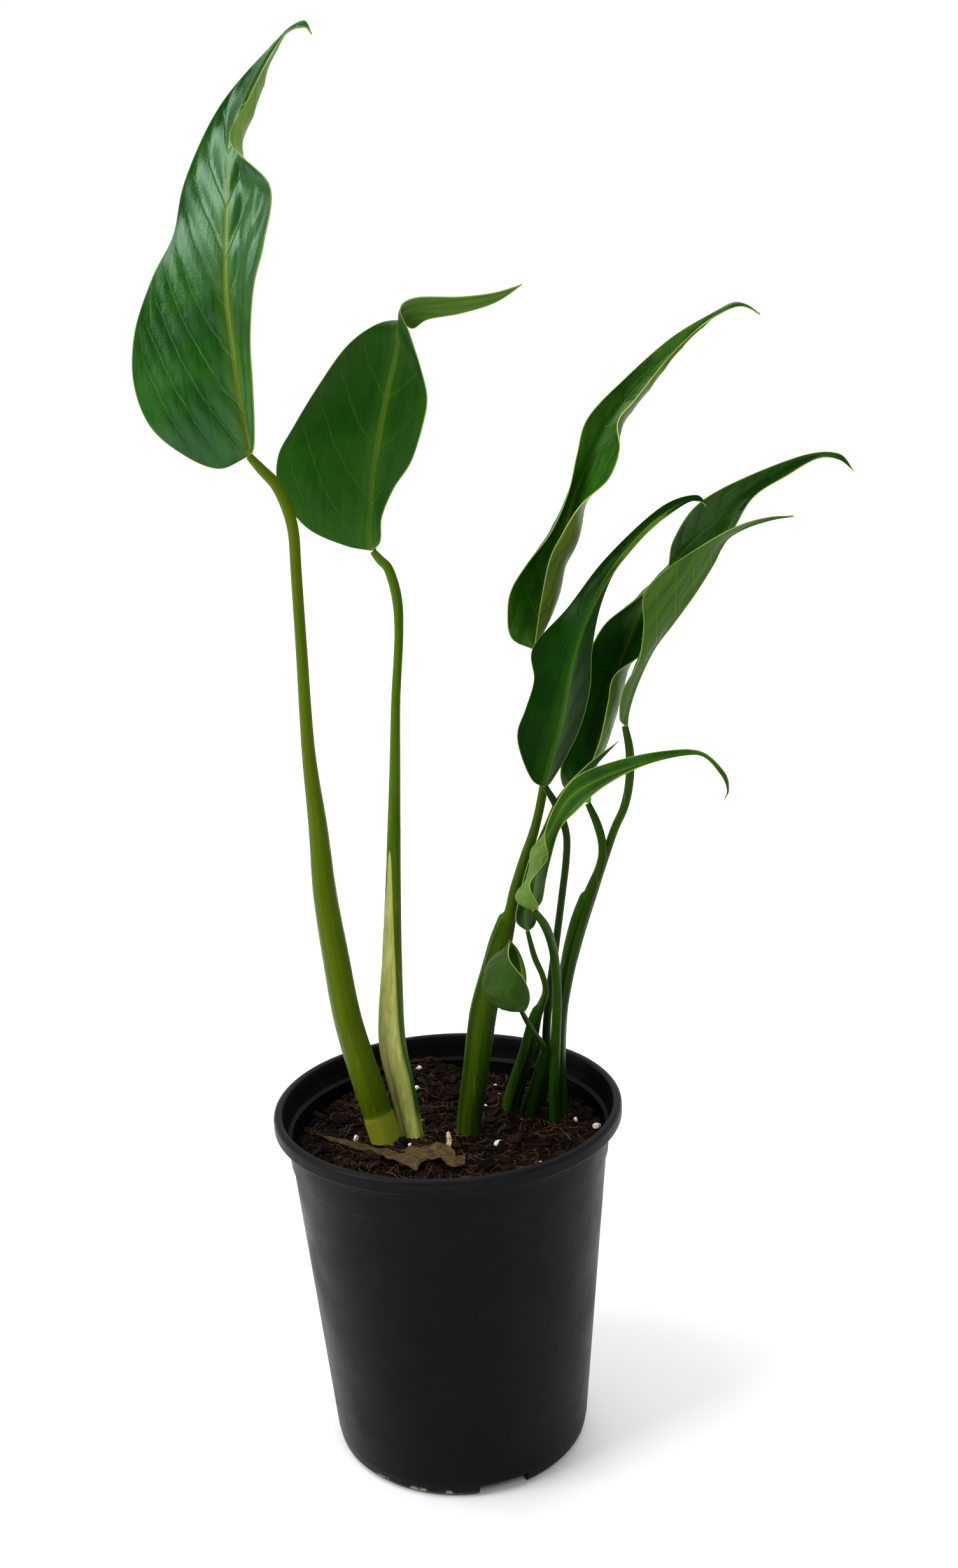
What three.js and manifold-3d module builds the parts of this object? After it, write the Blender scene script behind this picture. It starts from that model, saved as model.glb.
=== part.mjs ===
// Potted monstera: a young climbing plant with nine leaves in a black nursery pot.
// Millimetres, +Z up. The origin is the centre of the pot's flat base.
import * as THREE from 'three';
import { mergeVertices } from 'three/addons/utils/BufferGeometryUtils.js';
import Module from 'manifold-3d';

// ---- driving dimensions ----
const RIM_D = 165;          // pot, across the rolled rim
const POT_H = 172;          // pot, foot to rim
const FOOT_D = 118;         // flat base
const WALL = 1.3;           // pot wall
const SOIL_DROP = 19;       // rim down to the mean soil surface
const PLANT_H = 497;        // soil surface up to the highest leaf
const BLADE = 0.8;          // leaf blade thickness
const GAP = 0.3;            // clearance between neighbouring solids
const ROOTED = 7;           // how far a petiole runs down into the soil
const NECK = 0.7;           // from a petiole's end to the first point of its midrib
const SLOT_W = 24;          // drain slots: width, height above the foot, and depth in from the
const SLOT_H = 6.6;         // edge of the flat base
const SLOT_D = 9;

// sizes that follow from them
const RIM_R = RIM_D / 2;
const SOIL_Z = POT_H - SOIL_DROP;
const SPREAD = RIM_D / 165;  // the plant spreads with its pot
const RISE = PLANT_H / 497;
// outside radius of the pot's wall at a height, and the soil's edge inside it
const wallR = z => FOOT_D / 2 + 2.8 + (RIM_R - 6.5 - FOOT_D / 2 - 2.8) * (z - 6) / (POT_H - 18);
const SOIL_R = wallR(SOIL_Z) - WALL - GAP;
const SEGMENTS = 60;         // round the pot and the soil

// Each leaf: midrib and both margins as stations from base to tip, [x, y, height above soil],
// and how many degrees each half cups towards its upper face at those stations.
const LEAVES = {
  leaf_1: {
    mid: [[-72, 4, 322], [-72, 2, 329], [-73, 1, 340], [-74, 0, 353], [-75, 0, 370], [-76, 0, 387],
      [-75, 1, 406], [-73, 3, 428], [-70, 6, 450], [-60, 10, 473], [-46, 14, 492], [-38, 15, 495],
      [-34, 13, 491]],
    left: [[-72, 4, 322], [-85, 4, 317], [-99, 3, 323], [-113, 4, 336], [-119, 6, 355],
      [-117, 9, 376], [-108, 11, 397], [-98, 12, 414], [-91, 12, 436], [-74, 13, 465],
      [-50, 15, 489], [-38, 16, 497], [-34, 13, 491]],
    right: [[-72, 4, 322], [-69, -3, 325], [-68, -6, 334], [-67, -10, 353], [-66, -12, 370],
      [-63, -13, 391], [-58, -12, 408], [-54, -8, 430], [-69, -9, 447], [-62, 2, 464],
      [-47, 11, 489], [-38, 14, 494], [-34, 13, 491]],
    cupLeft: [-10, -20, -20, -15, 0, 10, 10, 10, 20, 30, 30, 0, 0],
    cupRight: [0, 10, 15, 15, 20, 25, 25, 30, 130, 150, 60, 20, 0],
  },
  leaf_2: {
    mid: [[-22, 38, 276], [-23, 37, 285], [-21, 36, 298], [-19, 36, 314], [-15, 36, 332],
      [-11, 37, 348], [-7, 36, 361], [-5.5, 35, 367], [-5.2, 34.5, 371.5], [-4.8, 33.2, 376],
      [-3.6, 31.8, 380.4], [4.5, 29.5, 382.6], [23, 23, 382.4], [38, 19, 384.5], [50.5, 16, 389.6]],
    left: [[-22, 38, 276], [-35, 39, 279], [-52, 41, 288], [-63, 42, 305], [-63, 42, 320],
      [-55, 41, 333], [-43, 40, 350], [-29, 39, 367], [-16, 38, 375.5], [-5, 38.5, 377.5],
      [1.5, 36.5, 373.8], [8.5, 32, 377.2], [23, 25, 378.7], [38, 20, 382.4], [50.5, 16, 389.6]],
    right: [[-22, 38, 276], [-18, 30, 281], [-17, 26, 292], [-11, 24, 304], [-2, 24, 316],
      [4, 25, 333], [6, 26, 344], [4, 27, 356], [2, 27, 364], [-0.2, 27, 372],
      [-3.4, 27.5, 381.9], [3.9, 25.5, 386], [23, 21, 385.5], [38, 18, 386.5], [50.5, 16, 389.6]],
    cupLeft: [0, -15, -15, -10, 0, 10, 20, 20, 0, -30, -40, -15, 0, 0, 0],
    cupRight: [0, 10, 20, 20, 20, 30, 30, 20, 0, -40, -30, -15, 0, 0, 0],
  },
  leaf_3: {
    mid: [[49, 8, 231], [51, 10, 240], [55, 12, 254], [59, 14, 269], [65, 16, 284], [70, 18, 299],
      [77, 20, 314], [85, 22, 328], [97, 25, 342], [110, 28, 354], [125, 30, 366], [139, 30, 376],
      [148, 29, 378], [156, 27, 373]],
    left: [[49, 8, 231], [39, 6, 237], [37, 4, 248], [39, 4, 259], [47, 5, 270], [58, 7, 283],
      [66, 10, 300], [71, 14, 316], [77, 18, 332], [95, 24, 349], [116, 29, 365], [135, 31, 375],
      [146, 30, 379], [156, 27, 373]],
    right: [[49, 8, 231], [50, 2, 242], [52, -2, 255], [56, -3, 272], [62, -3, 283],
      [71, -3, 296], [83, -1, 306], [89, 4, 318], [89, 9, 330], [98, 14, 340], [117, 26, 359],
      [132, 29, 371], [146, 29, 377], [156, 27, 373]],
    cupLeft: [0, 30, 40, 40, 30, 30, 20, 20, 20, 20, 10, 0, 0, 0],
    cupRight: [90, 150, 165, 150, 150, 75, 40, 30, 75, 60, 40, 20, 0, 0],
  },
  leaf_4: {
    mid: [[50, -20, 174], [51, -21, 179], [54, -23, 190], [57, -26, 201], [60, -28, 216],
      [63, -30, 231], [70, -31, 251], [81, -31, 270], [96, -30, 286], [110, -29, 295],
      [118, -28, 297], [121, -27, 294]],
    left: [[50, -20, 174], [44, -22, 178], [39, -24, 191], [38, -25, 201], [42, -25, 211],
      [46, -24, 223], [46, -24, 237], [61, -24, 253], [78, -26, 274], [101, -27, 294],
      [116, -28, 299], [121, -27, 294]],
    right: [[50, -20, 174], [53, -16, 176], [60, -14, 186], [67, -14, 200], [71, -16, 217],
      [72, -18, 234], [77, -20, 255], [86, -23, 274], [102, -26, 289], [113, -27, 296],
      [118, -28, 296], [121, -27, 294]],
    cupLeft: [0, 20, 30, 30, 30, 30, 30, 20, 20, 10, 0, 0],
    cupRight: [0, 20, 30, 30, 30, 30, 30, 20, 20, 10, 0, 0],
  },
  leaf_5: {
    mid: [[42, -34, 122], [42, -35, 130], [44, -37, 141], [46, -38, 151], [51, -39, 162],
      [58, -40, 173], [68, -41, 180], [83, -42, 186], [99, -44, 190], [114, -46, 191],
      [122, -48, 183], [125, -48, 176], [124, -47, 171]],
    left: [[42, -34, 122], [43, -45, 128], [40, -45, 138], [48, -46, 149], [47, -44, 159],
      [53, -40, 172], [62, -40, 183], [77, -41, 189], [97, -43, 193], [114, -46, 193],
      [124, -48, 184], [126, -48, 176], [124, -47, 171]],
    right: [[42, -34, 122], [46, -30, 125], [48, -30, 134], [50, -36, 146], [54, -40, 160],
      [61, -42, 168], [72, -43, 178], [87, -43, 186], [102, -44, 190], [115, -46, 191],
      [123, -48, 183], [125, -48, 176], [124, -47, 171]],
    cupLeft: [60, 235, 120, 220, 60, 40, 30, 20, 10, 0, 0, 0, 0],
    cupRight: [0, 60, 60, 60, 80, 90, 90, 60, 30, 0, 0, 0, 0],
  },
  leaf_6: {
    mid: [[72, 14, 157], [73, 15, 165], [75, 16, 178], [80, 18, 193], [85, 20, 209], [91, 22, 225],
      [98, 24, 240], [107, 26, 256], [119, 28, 270], [133, 31, 282], [148, 34, 294],
      [165, 37, 303], [182, 38, 310], [194, 37, 309], [201, 34, 302]],
    left: [[72, 14, 157], [62, 12, 164], [59, 8, 174], [62, 6, 189], [67, 6, 206], [72, 7, 225],
      [81, 10, 241], [96, 13, 251], [110, 16, 262], [114, 20, 276], [126, 25, 291],
      [149, 31, 302], [177, 36, 311], [194, 37, 311], [201, 34, 302]],
    right: [[72, 14, 157], [71, 6, 167], [72, 2, 177], [77, 0, 191], [81, 0, 207], [84, 1, 219],
      [98, 6, 228], [112, 20, 237], [124, 22, 252], [142, 26, 278], [153, 30, 293],
      [169, 34, 302], [184, 37, 309], [194, 37, 308], [201, 34, 302]],
    cupLeft: [0, 10, 20, 30, 30, 30, 30, 30, 30, 30, 20, 10, 0, 0, 0],
    cupRight: [0, 60, 90, 100, 100, 90, 60, 30, 30, 40, 40, 20, 0, 0, 0],
  },
  leaf_7: {
    mid: [[88, -2, 196], [89, -3, 204], [93, -6, 217], [100, -9, 232], [109, -11, 244],
      [118, -12, 256], [126, -12, 268], [132, -11, 278], [141, -10, 283], [153, -9, 286],
      [163, -8, 287]],
    left: [[88, -2, 196], [87, 2, 200], [90, 3, 213], [96, 4, 227], [102, 5, 241], [109, 5, 253],
      [119, 4, 266], [130, 0, 277], [140, -6, 283], [152, -8, 286], [163, -8, 287]],
    right: [[88, -2, 196], [85, -6, 201], [86, -10, 214], [93, -14, 228], [95, -17, 243],
      [95, -19, 257], [104, -20, 267], [121, -18, 277], [137, -14, 284], [151, -10, 287],
      [163, -8, 287]],
    cupLeft: [0, 10, 20, 20, 20, 20, 20, 10, 0, 0, 0],
    cupRight: [0, 30, 40, 40, 40, 40, 40, 30, 0, 0, 0],
  },
  leaf_8: {
    mid: [[40, -16, 106], [39, -15, 113], [42, -13, 124], [46, -11, 140], [52, -8, 155],
      [60, -5, 168], [73, -2, 179], [86, 2, 189]],
    left: [[40, -16, 106], [35, -16, 111], [36, -15, 119], [41, -13, 137], [49, -10, 153],
      [57, -6, 167], [71, -3, 180], [86, 2, 189]],
    right: [[40, -16, 106], [44, -12, 109], [47, -10, 123], [51, -9, 139], [56, -7, 155],
      [63, -4, 166], [74, -2, 178], [86, 2, 189]],
    cupLeft: [20, 20],
    cupRight: [20, 20],
  },
  leaf_9: {
    mid: [[34, -30, 76], [36, -30, 83], [36, -29, 91], [35, -29, 98], [33, -30, 104],
      [31, -31, 108]],
    left: [[34, -30, 76], [36, -43, 79], [38, -48, 87], [36, -48, 95], [30, -42, 103],
      [31, -31, 108]],
    right: [[34, -30, 76], [37, -28, 81], [38, -28, 89], [37, -28, 96], [34.5, -29.5, 103],
      [31, -31, 108]],
    cupLeft: [140, 240, 245, 245, 225, 60],
    cupRight: [0, 20, 20, 20, 10, 0],
  },
};

// Each petiole: centre line stations [x, y, height above soil, radius] from the soil up. It ends
// where its leaf begins.
const PETIOLES = {
  petiole_1: [[-30.5, -3, 3, 6.9], [-37.6, 0, 30, 7.1], [-45, 3, 61, 6.6], [-49, 4.5, 93, 6.2],
    [-52, 4, 124, 5.5], [-53, 3, 155, 4.4], [-55, 3, 191, 3.1], [-55, 3, 237, 2.6],
    [-55, 3, 271, 2.5], [-55, 3, 288, 2.5], [-57, 3, 299, 2.6], [-61, 3, 309, 2.6],
    [-67, 4, 316, 2.3]],
  petiole_2: [[-18, 1, 2, 5.4], [-22, 6, 26, 6.2], [-24.6, 9.5, 41, 6.4], [-24.9, 12.5, 56, 6.0],
    [-23, 17.5, 87, 4.7], [-21, 21.5, 117, 3.8], [-19, 25, 147, 3.2], [-17, 28, 177, 2.6],
    [-15, 30, 207, 2.2], [-12, 33, 237, 2.1], [-12, 35, 254, 2.4], [-15, 37, 267, 2.3],
    [-19, 38, 272, 2.1]],
  petiole_3: [[10, 1, 10, 5.8], [13, 1, 27, 6.1], [16, 0, 46, 6.4], [18, 0, 59, 6.5],
    [22, 0, 75, 6.1], [28, 0, 93, 4.9], [33, 0, 109, 3.2], [36, 0, 121, 2.9], [41, 0, 136, 2.7],
    [46, 1, 150, 2.2], [50, 3, 165, 2.1], [53, 5, 182, 2.1], [53, 7, 202, 2.1],
    [51, 8, 220, 2.0]],
  petiole_4: [[46, 24, 4, 2.2], [48, 18, 20, 2.1], [49, 11, 48, 2.0], [51, 6, 71, 1.9],
    [54, 0, 95, 1.8], [57, -6, 120, 1.7], [59, -10, 138, 1.7], [59, -13, 151, 1.7],
    [55, -18, 164, 1.8]],
  petiole_5: [[51, 6, 3, 2.5], [51, 1, 24, 2.5], [52, -3, 47, 2.4], [53, -8, 70, 2.2],
    [52, -15, 91, 2.1], [50, -22, 103, 2.0], [47, -29, 113, 2.0]],
  petiole_6: [[56, 19, 3, 3.0], [55, 18, 37, 3.2], [57, 17, 58, 3.5], [61, 16, 79, 3.8],
    [66, 15, 97, 3.6], [72, 14, 114, 2.8], [77, 13, 127, 2.2], [78, 12, 137, 2.0],
    [76, 13, 147, 2.0]],
  petiole_7: [[57, 28, 4, 2.4], [57, 27, 32, 2.3], [60, 26, 60, 2.2], [67, 25, 87, 2.1],
    [75, 22, 113, 2.0], [80, 17, 131, 2.0], [84, 12, 145, 2.0], [88, 6, 157, 2.0],
    [90, 2, 170, 2.0], [90, -1, 184, 2.0]],
  petiole_8: [[31, 25, 2, 4.6], [35, 20, 18, 4.4], [40, 13, 37, 3.7], [44, 6, 56, 2.6],
    [48, -1, 70, 1.6], [47, -5, 80, 1.4], [43, -10, 92, 1.4]],
  petiole_9: [[40, 14, 4, 4.8], [43, 8, 18, 4.2], [46, 0, 37, 2.4], [46, -6, 46, 1.6],
    [42, -14, 55, 1.4], [38, -22, 65, 1.3]],
};

// Loose pieces on the soil: [x, y, height of the centre above the soil, radii x y z, turn]
const LOOSE = {
  perlite_1: [22.5, -15, 0.8, 2.2, 1.8, 1.7, 20],
  perlite_2: [(SOIL_R - 2.8) / SPREAD, 2, 1, 1.8, 2.2, 1.8, 60],
  perlite_3: [-14, 60, 0.8, 1.7, 1.5, 1.4, 10],
  bark_chip_1: [47, -31, 0.8, 6.5, 3.6, 1.8, 35],
  bark_chip_2: [4, 40, 0.8, 7.0, 4.0, 1.8, -20],
  bark_chip_3: [-52, 22, 0.8, 6.0, 4.2, 1.8, 70],
  twig_stub: [-0.5, -8, 1.3, 1.3, 8.2, 1.3, 7],
};
// Dry leaf scrap: stations along its length, [x, y, height, half-width]
const SCRAP = [[-63, 5, 1.6, 1.4], [-49, -5, 2.0, 2.4], [-37, -16, 2.4, 4.0],
  [-25, -24, 2.8, 8.5], [-13, -24, 2.8, 8.5], [-3, -27, 2.4, 6.0], [6, -34, 1.8, 2.4]];

// ---- materials ----
const paint = (color, roughness) => new THREE.MeshStandardMaterial({ color, roughness });
const LOOKS = {
  leaf: paint('#2c5326', 0.35), petiole: paint('#67801f', 0.45), pot: paint('#1c1d20', 0.6),
  soil: paint('#2b1d16', 0.95), perlite: paint('#e8e4dc', 0.9), bark: paint('#3a2518', 0.9),
  twig: paint('#b9a685', 0.85), scrap: paint('#a08a5c', 0.85),
};

// ---- helpers ----
const wasm = await Module();
wasm.setup();

const group = new THREE.Group();
function add(name, geometry, look) {
  const mesh = new THREE.Mesh(geometry, LOOKS[look]);
  mesh.name = name;
  group.add(mesh);
}

// bare closed geometry: position only, shared corners merged
function bare(geometry) {
  geometry.deleteAttribute('normal');
  geometry.deleteAttribute('uv');
  return mergeVertices(geometry, 1e-4);
}

function toSolid(geometry) {
  return new wasm.Manifold(new wasm.Mesh({
    numProp: 3,
    vertProperties: new Float32Array(geometry.attributes.position.array),
    triVerts: new Uint32Array(geometry.index.array),
  }));
}

function fromSolid(solid) {
  const mesh = solid.getMesh();
  const geometry = new THREE.BufferGeometry();
  geometry.setAttribute('position', new THREE.BufferAttribute(mesh.vertProperties, 3));
  geometry.setIndex(new THREE.BufferAttribute(mesh.triVerts, 1));
  return geometry;
}

// moves every vertex of a bare geometry with fn(x, y, z) -> Vector3
function reshape(geometry, fn) {
  const at = geometry.attributes.position;
  for (let i = 0; i < at.count; i++) {
    const p = fn(at.getX(i), at.getY(i), at.getZ(i));
    at.setXYZ(i, p.x, p.y, p.z);
  }
  return geometry;
}

// one smooth curve through plant stations, and one through plain numbers
const place = ([x, y, z]) => new THREE.Vector3(x * SPREAD, y * SPREAD, SOIL_Z + z * RISE);
const curve = points => new THREE.CatmullRomCurve3(points, false, 'catmullrom', 0.5);
const through = stations => curve(stations.map(place));
const numbers = values => curve(values.map(v => new THREE.Vector3(v, 0, 0)));

// direction of a curve at u, from two nearby points
function heading(path, u) {
  const a = path.getPoint(Math.max(u - 1e-3, 0));
  const b = path.getPoint(Math.min(u + 1e-3, 1));
  return b.sub(a).normalize();
}

// ---- leaf blades ----
// Each half of the blade is an arc from the midrib to the margin. Its chord is the straight
// line between them, and it sags away from the upper face by the cup angle.
function halfBlade(mid, margin, cup, side, u, t) {
  const root = mid.getPoint(u);
  const chord = margin.getPoint(u).sub(root);
  const span = chord.length();
  const normal = chord.clone().cross(heading(mid, u)).multiplyScalar(side).normalize();
  const angle = Math.max(Math.abs(cup.getPoint(u).x), 0.1) * Math.sign(cup.getPoint(u).x || 1);
  const a = THREE.MathUtils.degToRad(angle);
  const along = 0.5 + Math.sin(a * (t - 0.5)) / (2 * Math.sin(a / 2));
  const sag = (Math.cos(a * (t - 0.5)) - Math.cos(a / 2)) / (2 * Math.sin(a / 2));
  return root.addScaledVector(chord, along).addScaledVector(normal, -sag * span);
}

function bladeSurface(leaf) {
  const mid = through(leaf.mid);
  const halves = [
    [through(leaf.left), numbers(leaf.cupLeft), -1],
    [through(leaf.right), numbers(leaf.cupRight), 1]];
  return (u, s) => {
    const [margin, cup, side] = halves[s < 0 ? 0 : 1];
    return halfBlade(mid, margin, cup, side, u, Math.abs(s));
  };
}

// A closed blade: a flat box grid wrapped onto the surface, half the thickness each way.
// Steps are finer near the base and the tip; both ends stop just short of a point.
function blade(leaf, lengthwise, across) {
  const surface = bladeSurface(leaf);
  const flat = bare(new THREE.BoxGeometry(2, 1, 2, across, lengthwise, 1));
  return reshape(flat, (x, y, z) => {
    const a = y + 0.5;
    const u = 0.004 + 0.99 * (0.5 * a + 0.5 * (0.5 - 0.5 * Math.cos(Math.PI * a)));
    const s = THREE.MathUtils.clamp(x, -1, 1);
    const acrossWay = surface(u, Math.min(s + 0.02, 1)).sub(surface(u, Math.max(s - 0.02, -1)));
    const lengthWay = surface(Math.min(u + 1e-3, 1), s).sub(surface(u - 1e-3, s));
    const up = acrossWay.cross(lengthWay).normalize();
    const thin = BLADE * (1 - 0.45 * Math.abs(s)) / 2;
    return surface(u, s).addScaledVector(up, z * thin);
  });
}

// ---- petioles ----
// A round tube whose radius follows its stations; extra grows it for the soil pocket.
function petiole(stations, base, extra = 0, down = ROOTED, sides = 8, rings = 21) {
  const last = stations[stations.length - 1];
  const reach = new THREE.Vector3(...base).sub(new THREE.Vector3(...last));
  const end = new THREE.Vector3(...last).addScaledVector(reach, 1 - NECK / reach.length());
  const rooted = [[...stations[0]], ...stations, [end.x, end.y, end.z, 0.6 * last[3]]];
  rooted[0][2] = -down;
  const dx = (stations[1][0] - stations[0][0]) / (stations[1][2] - stations[0][2]);
  const dy = (stations[1][1] - stations[0][1]) / (stations[1][2] - stations[0][2]);
  rooted[0][0] -= dx * (down + stations[0][2]) * 0.5;
  rooted[0][1] -= dy * (down + stations[0][2]) * 0.5;
  const path = through(rooted);
  const radius = numbers(rooted.map(p => p[3] * SPREAD));
  const rod = bare(new THREE.CylinderGeometry(1, 1, 1, sides, rings));
  return reshape(rod, (x, y, z) => {
    const u = y + 0.5;
    const ahead = heading(path, u);
    const facing = new THREE.Vector3(0, -1, 0);
    facing.addScaledVector(ahead, -facing.dot(ahead)).normalize();
    const right = ahead.clone().cross(facing);
    const r = radius.getPoint(u).x + extra;
    return path.getPoint(u).addScaledVector(right, x * r).addScaledVector(facing, z * r);
  });
}

// ---- pot ----

function potProfile() {
  const inner = z => wallR(z) - WALL;
  const R = RIM_R;
  const H = POT_H;
  const points = [
    [0, 0], [FOOT_D / 2 - 2, 0], [FOOT_D / 2, 0.7], [FOOT_D / 2 + 2, 3], [wallR(6), 6],
    [wallR(H - 24.6), H - 24.6], [wallR(H - 24) + 0.7, H - 24], [wallR(H - 11.6) + 0.7, H - 11.6],
    [wallR(H - 11) + 1.5, H - 11], [R - 4.4, H - 7.2], [R - 1.2, H - 7], [R, H - 5.6],
    [R, H - 2.2], [R - 0.8, H - 0.6], [R - 2.2, H], [R - 3.4, H - 0.5], [R - 4.2, H - 2],
    [R - 5, H - 7], [R - 6.2, H - 11.2], [inner(H - 13) - 0.2, H - 12.6], [inner(H - 14), H - 14],
    [inner(7), 7], [FOOT_D / 2 - 1.5, 3.4], [FOOT_D / 2 - 5, 2.4], [0, 2.4]];
  return points.map(([r, z]) => new THREE.Vector2(r, z));
}

// a lathe about +Z, closed at the axis
function turned(profile, segments) {
  const lathe = new THREE.LatheGeometry(profile, segments);
  lathe.rotateX(Math.PI / 2);
  return bare(lathe);
}

// three drain slots, each a notch through the lower edge of the wall and the base
function drainSlots() {
  const slots = [];
  const below = 2;             // the cutters reach below the foot and outside the wall
  const outside = 14;
  for (let k = 0; k < 3; k++) {
    const slot = new THREE.BoxGeometry(SLOT_W, SLOT_D + outside, SLOT_H + below);
    slot.translate(0, (SLOT_D - outside - FOOT_D) / 2, (SLOT_H - below) / 2);
    slot.rotateZ(THREE.MathUtils.degToRad(17 + 120 * k));
    slots.push(toSolid(bare(slot)));
  }
  return slots;
}

// ---- soil ----
const WAVES = [[0.055, 0.02, 0.4], [-0.031, 0.083, 1.9], [0.11, -0.07, 3.1], [0.16, 0.13, 0.7]];
function soilHeight(x, y) {
  let bump = 0;
  for (const [kx, ky, phase] of WAVES) bump += 0.55 * Math.sin(kx * x + ky * y + phase);
  const mound = 5 * Math.exp(-((x + 18) ** 2 + (y - 52) ** 2) / 500);
  const heap = 7 * Math.exp(-((x + 10) ** 2 + (y - 73) ** 2) / 300);
  const dip = 3 * Math.exp(-((x + 8) ** 2 + (y + 58) ** 2) / 600);
  return SOIL_Z + bump + mound + heap - dip;
}

function soilBody() {
  const inner = z => wallR(z) - WALL - GAP;
  const top = SOIL_Z;
  const profile = [[0, 2.4 + GAP], [FOOT_D / 2 - 6, 2.4 + GAP], [FOOT_D / 2 - 2.4, 3.6 + GAP],
    [inner(7.4), 7.4]];
  for (const r of [inner(top), inner(top) - 5, 0.72 * inner(top), 0.54 * inner(top),
    0.36 * inner(top), 0.18 * inner(top), 0]) profile.push([r, top]);
  const body = turned(profile.map(([r, z]) => new THREE.Vector2(r, z)), SEGMENTS);
  return reshape(body, (x, y, z) => {
    if (z < top - 1) return new THREE.Vector3(x, y, z);
    const edge = Math.hypot(x, y) > inner(top) - 1;
    return new THREE.Vector3(x, y, edge ? top - 1 : soilHeight(x, y));
  });
}

// ---- loose pieces ----
// a lumpy pebble or chip; grow widens it for its pocket in the soil
function lump([x, y, z, rx, ry, rz, turn], grow = 0) {
  const ball = bare(new THREE.IcosahedronGeometry(1, 1));
  const spin = THREE.MathUtils.degToRad(turn);
  return reshape(ball, (a, b, c) => {
    const wob = 1 + 0.10 * Math.sin(3 * a + 2 * b + turn) + 0.07 * Math.sin(5 * c - 3 * a);
    const p = new THREE.Vector3(a * (rx + grow), b * (ry + grow), c * (rz + grow));
    p.multiplyScalar(grow ? 1.02 * wob : wob).applyAxisAngle(new THREE.Vector3(0, 0, 1), spin);
    const flat = new THREE.Vector3(x * SPREAD, y * SPREAD, 0);
    return p.add(flat).setZ(p.z + soilHeight(flat.x, flat.y) + z);
  });
}

// the dry leaf scrap: a narrow rumpled sheet lying on the soil
function scrap(grow = 0) {
  const mid = curve(SCRAP.map(([x, y, z]) => new THREE.Vector3(x * SPREAD, y * SPREAD, z)));
  const width = numbers(SCRAP.map(p => p[3] * SPREAD));
  const flat = bare(new THREE.BoxGeometry(2, 1, 2, 4, 14, 1));
  return reshape(flat, (x, y, z) => {
    const u = y + 0.5;
    const way = heading(mid, u);
    const out = new THREE.Vector3(way.y, -way.x, 0).normalize();
    const ragged = 1 + 0.25 * Math.sin(19 * u + 2 * Math.sign(x));
    const p = mid.getPoint(u).addScaledVector(out, x * (width.getPoint(u).x * ragged + grow));
    if (Math.abs(y) > 0.49) p.addScaledVector(way, Math.sign(y) * grow);
    const rumple = 0.9 * Math.sin(14 * u + 2.2 * x) - 0.6 * x * x;
    return p.setZ(p.z + SOIL_Z + rumple + z * (0.45 + 1.3 * grow));
  });
}

// ---- assembly ----
const stems = Object.entries(PETIOLES).map(([name, stations]) =>
  [name, stations, LEAVES[name.replace('petiole', 'leaf')].mid[0]]);
const loose = Object.entries(LOOSE);

let potSolid = toSolid(turned(potProfile(), SEGMENTS));
for (const slot of drainSlots()) potSolid = potSolid.subtract(slot);
add('pot', fromSolid(potSolid), 'pot');

let soil = toSolid(soilBody());
for (const [, stations, base] of stems) {
  soil = soil.subtract(toSolid(petiole(stations, base, GAP, ROOTED + 1)));
}
for (const [, spec] of loose) soil = soil.subtract(toSolid(lump(spec, GAP)));
soil = soil.subtract(toSolid(scrap(GAP)));
add('soil', fromSolid(soil), 'soil');

for (const [name, stations, base] of stems) add(name, petiole(stations, base), 'petiole');
for (const [name, leaf] of Object.entries(LEAVES)) {
  const small = leaf.mid.length < 9;
  const rolled = Math.max(...leaf.cupLeft) > 180;
  add(name, blade(leaf, small ? 12 : leaf.mid.length > 13 ? 28 : 20, rolled ? 16 : small ? 6 : 8), 'leaf');
}
for (const [name, spec] of loose) add(name, lump(spec), name.split('_')[0]);
add('leaf_scrap', scrap(), 'scrap');

export default group;
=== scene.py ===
"""Looks of a young potted monstera: nine leaves on sheathed petioles, potting mix and a black nursery pot.

Metres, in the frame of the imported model: the origin is the centre of the pot's flat base, +Z up.
Every new piece is a surface worked out with numpy and rides on the one body, root.
"""
import math

import bpy
import numpy as np
from mathutils import Matrix, Vector


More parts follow.
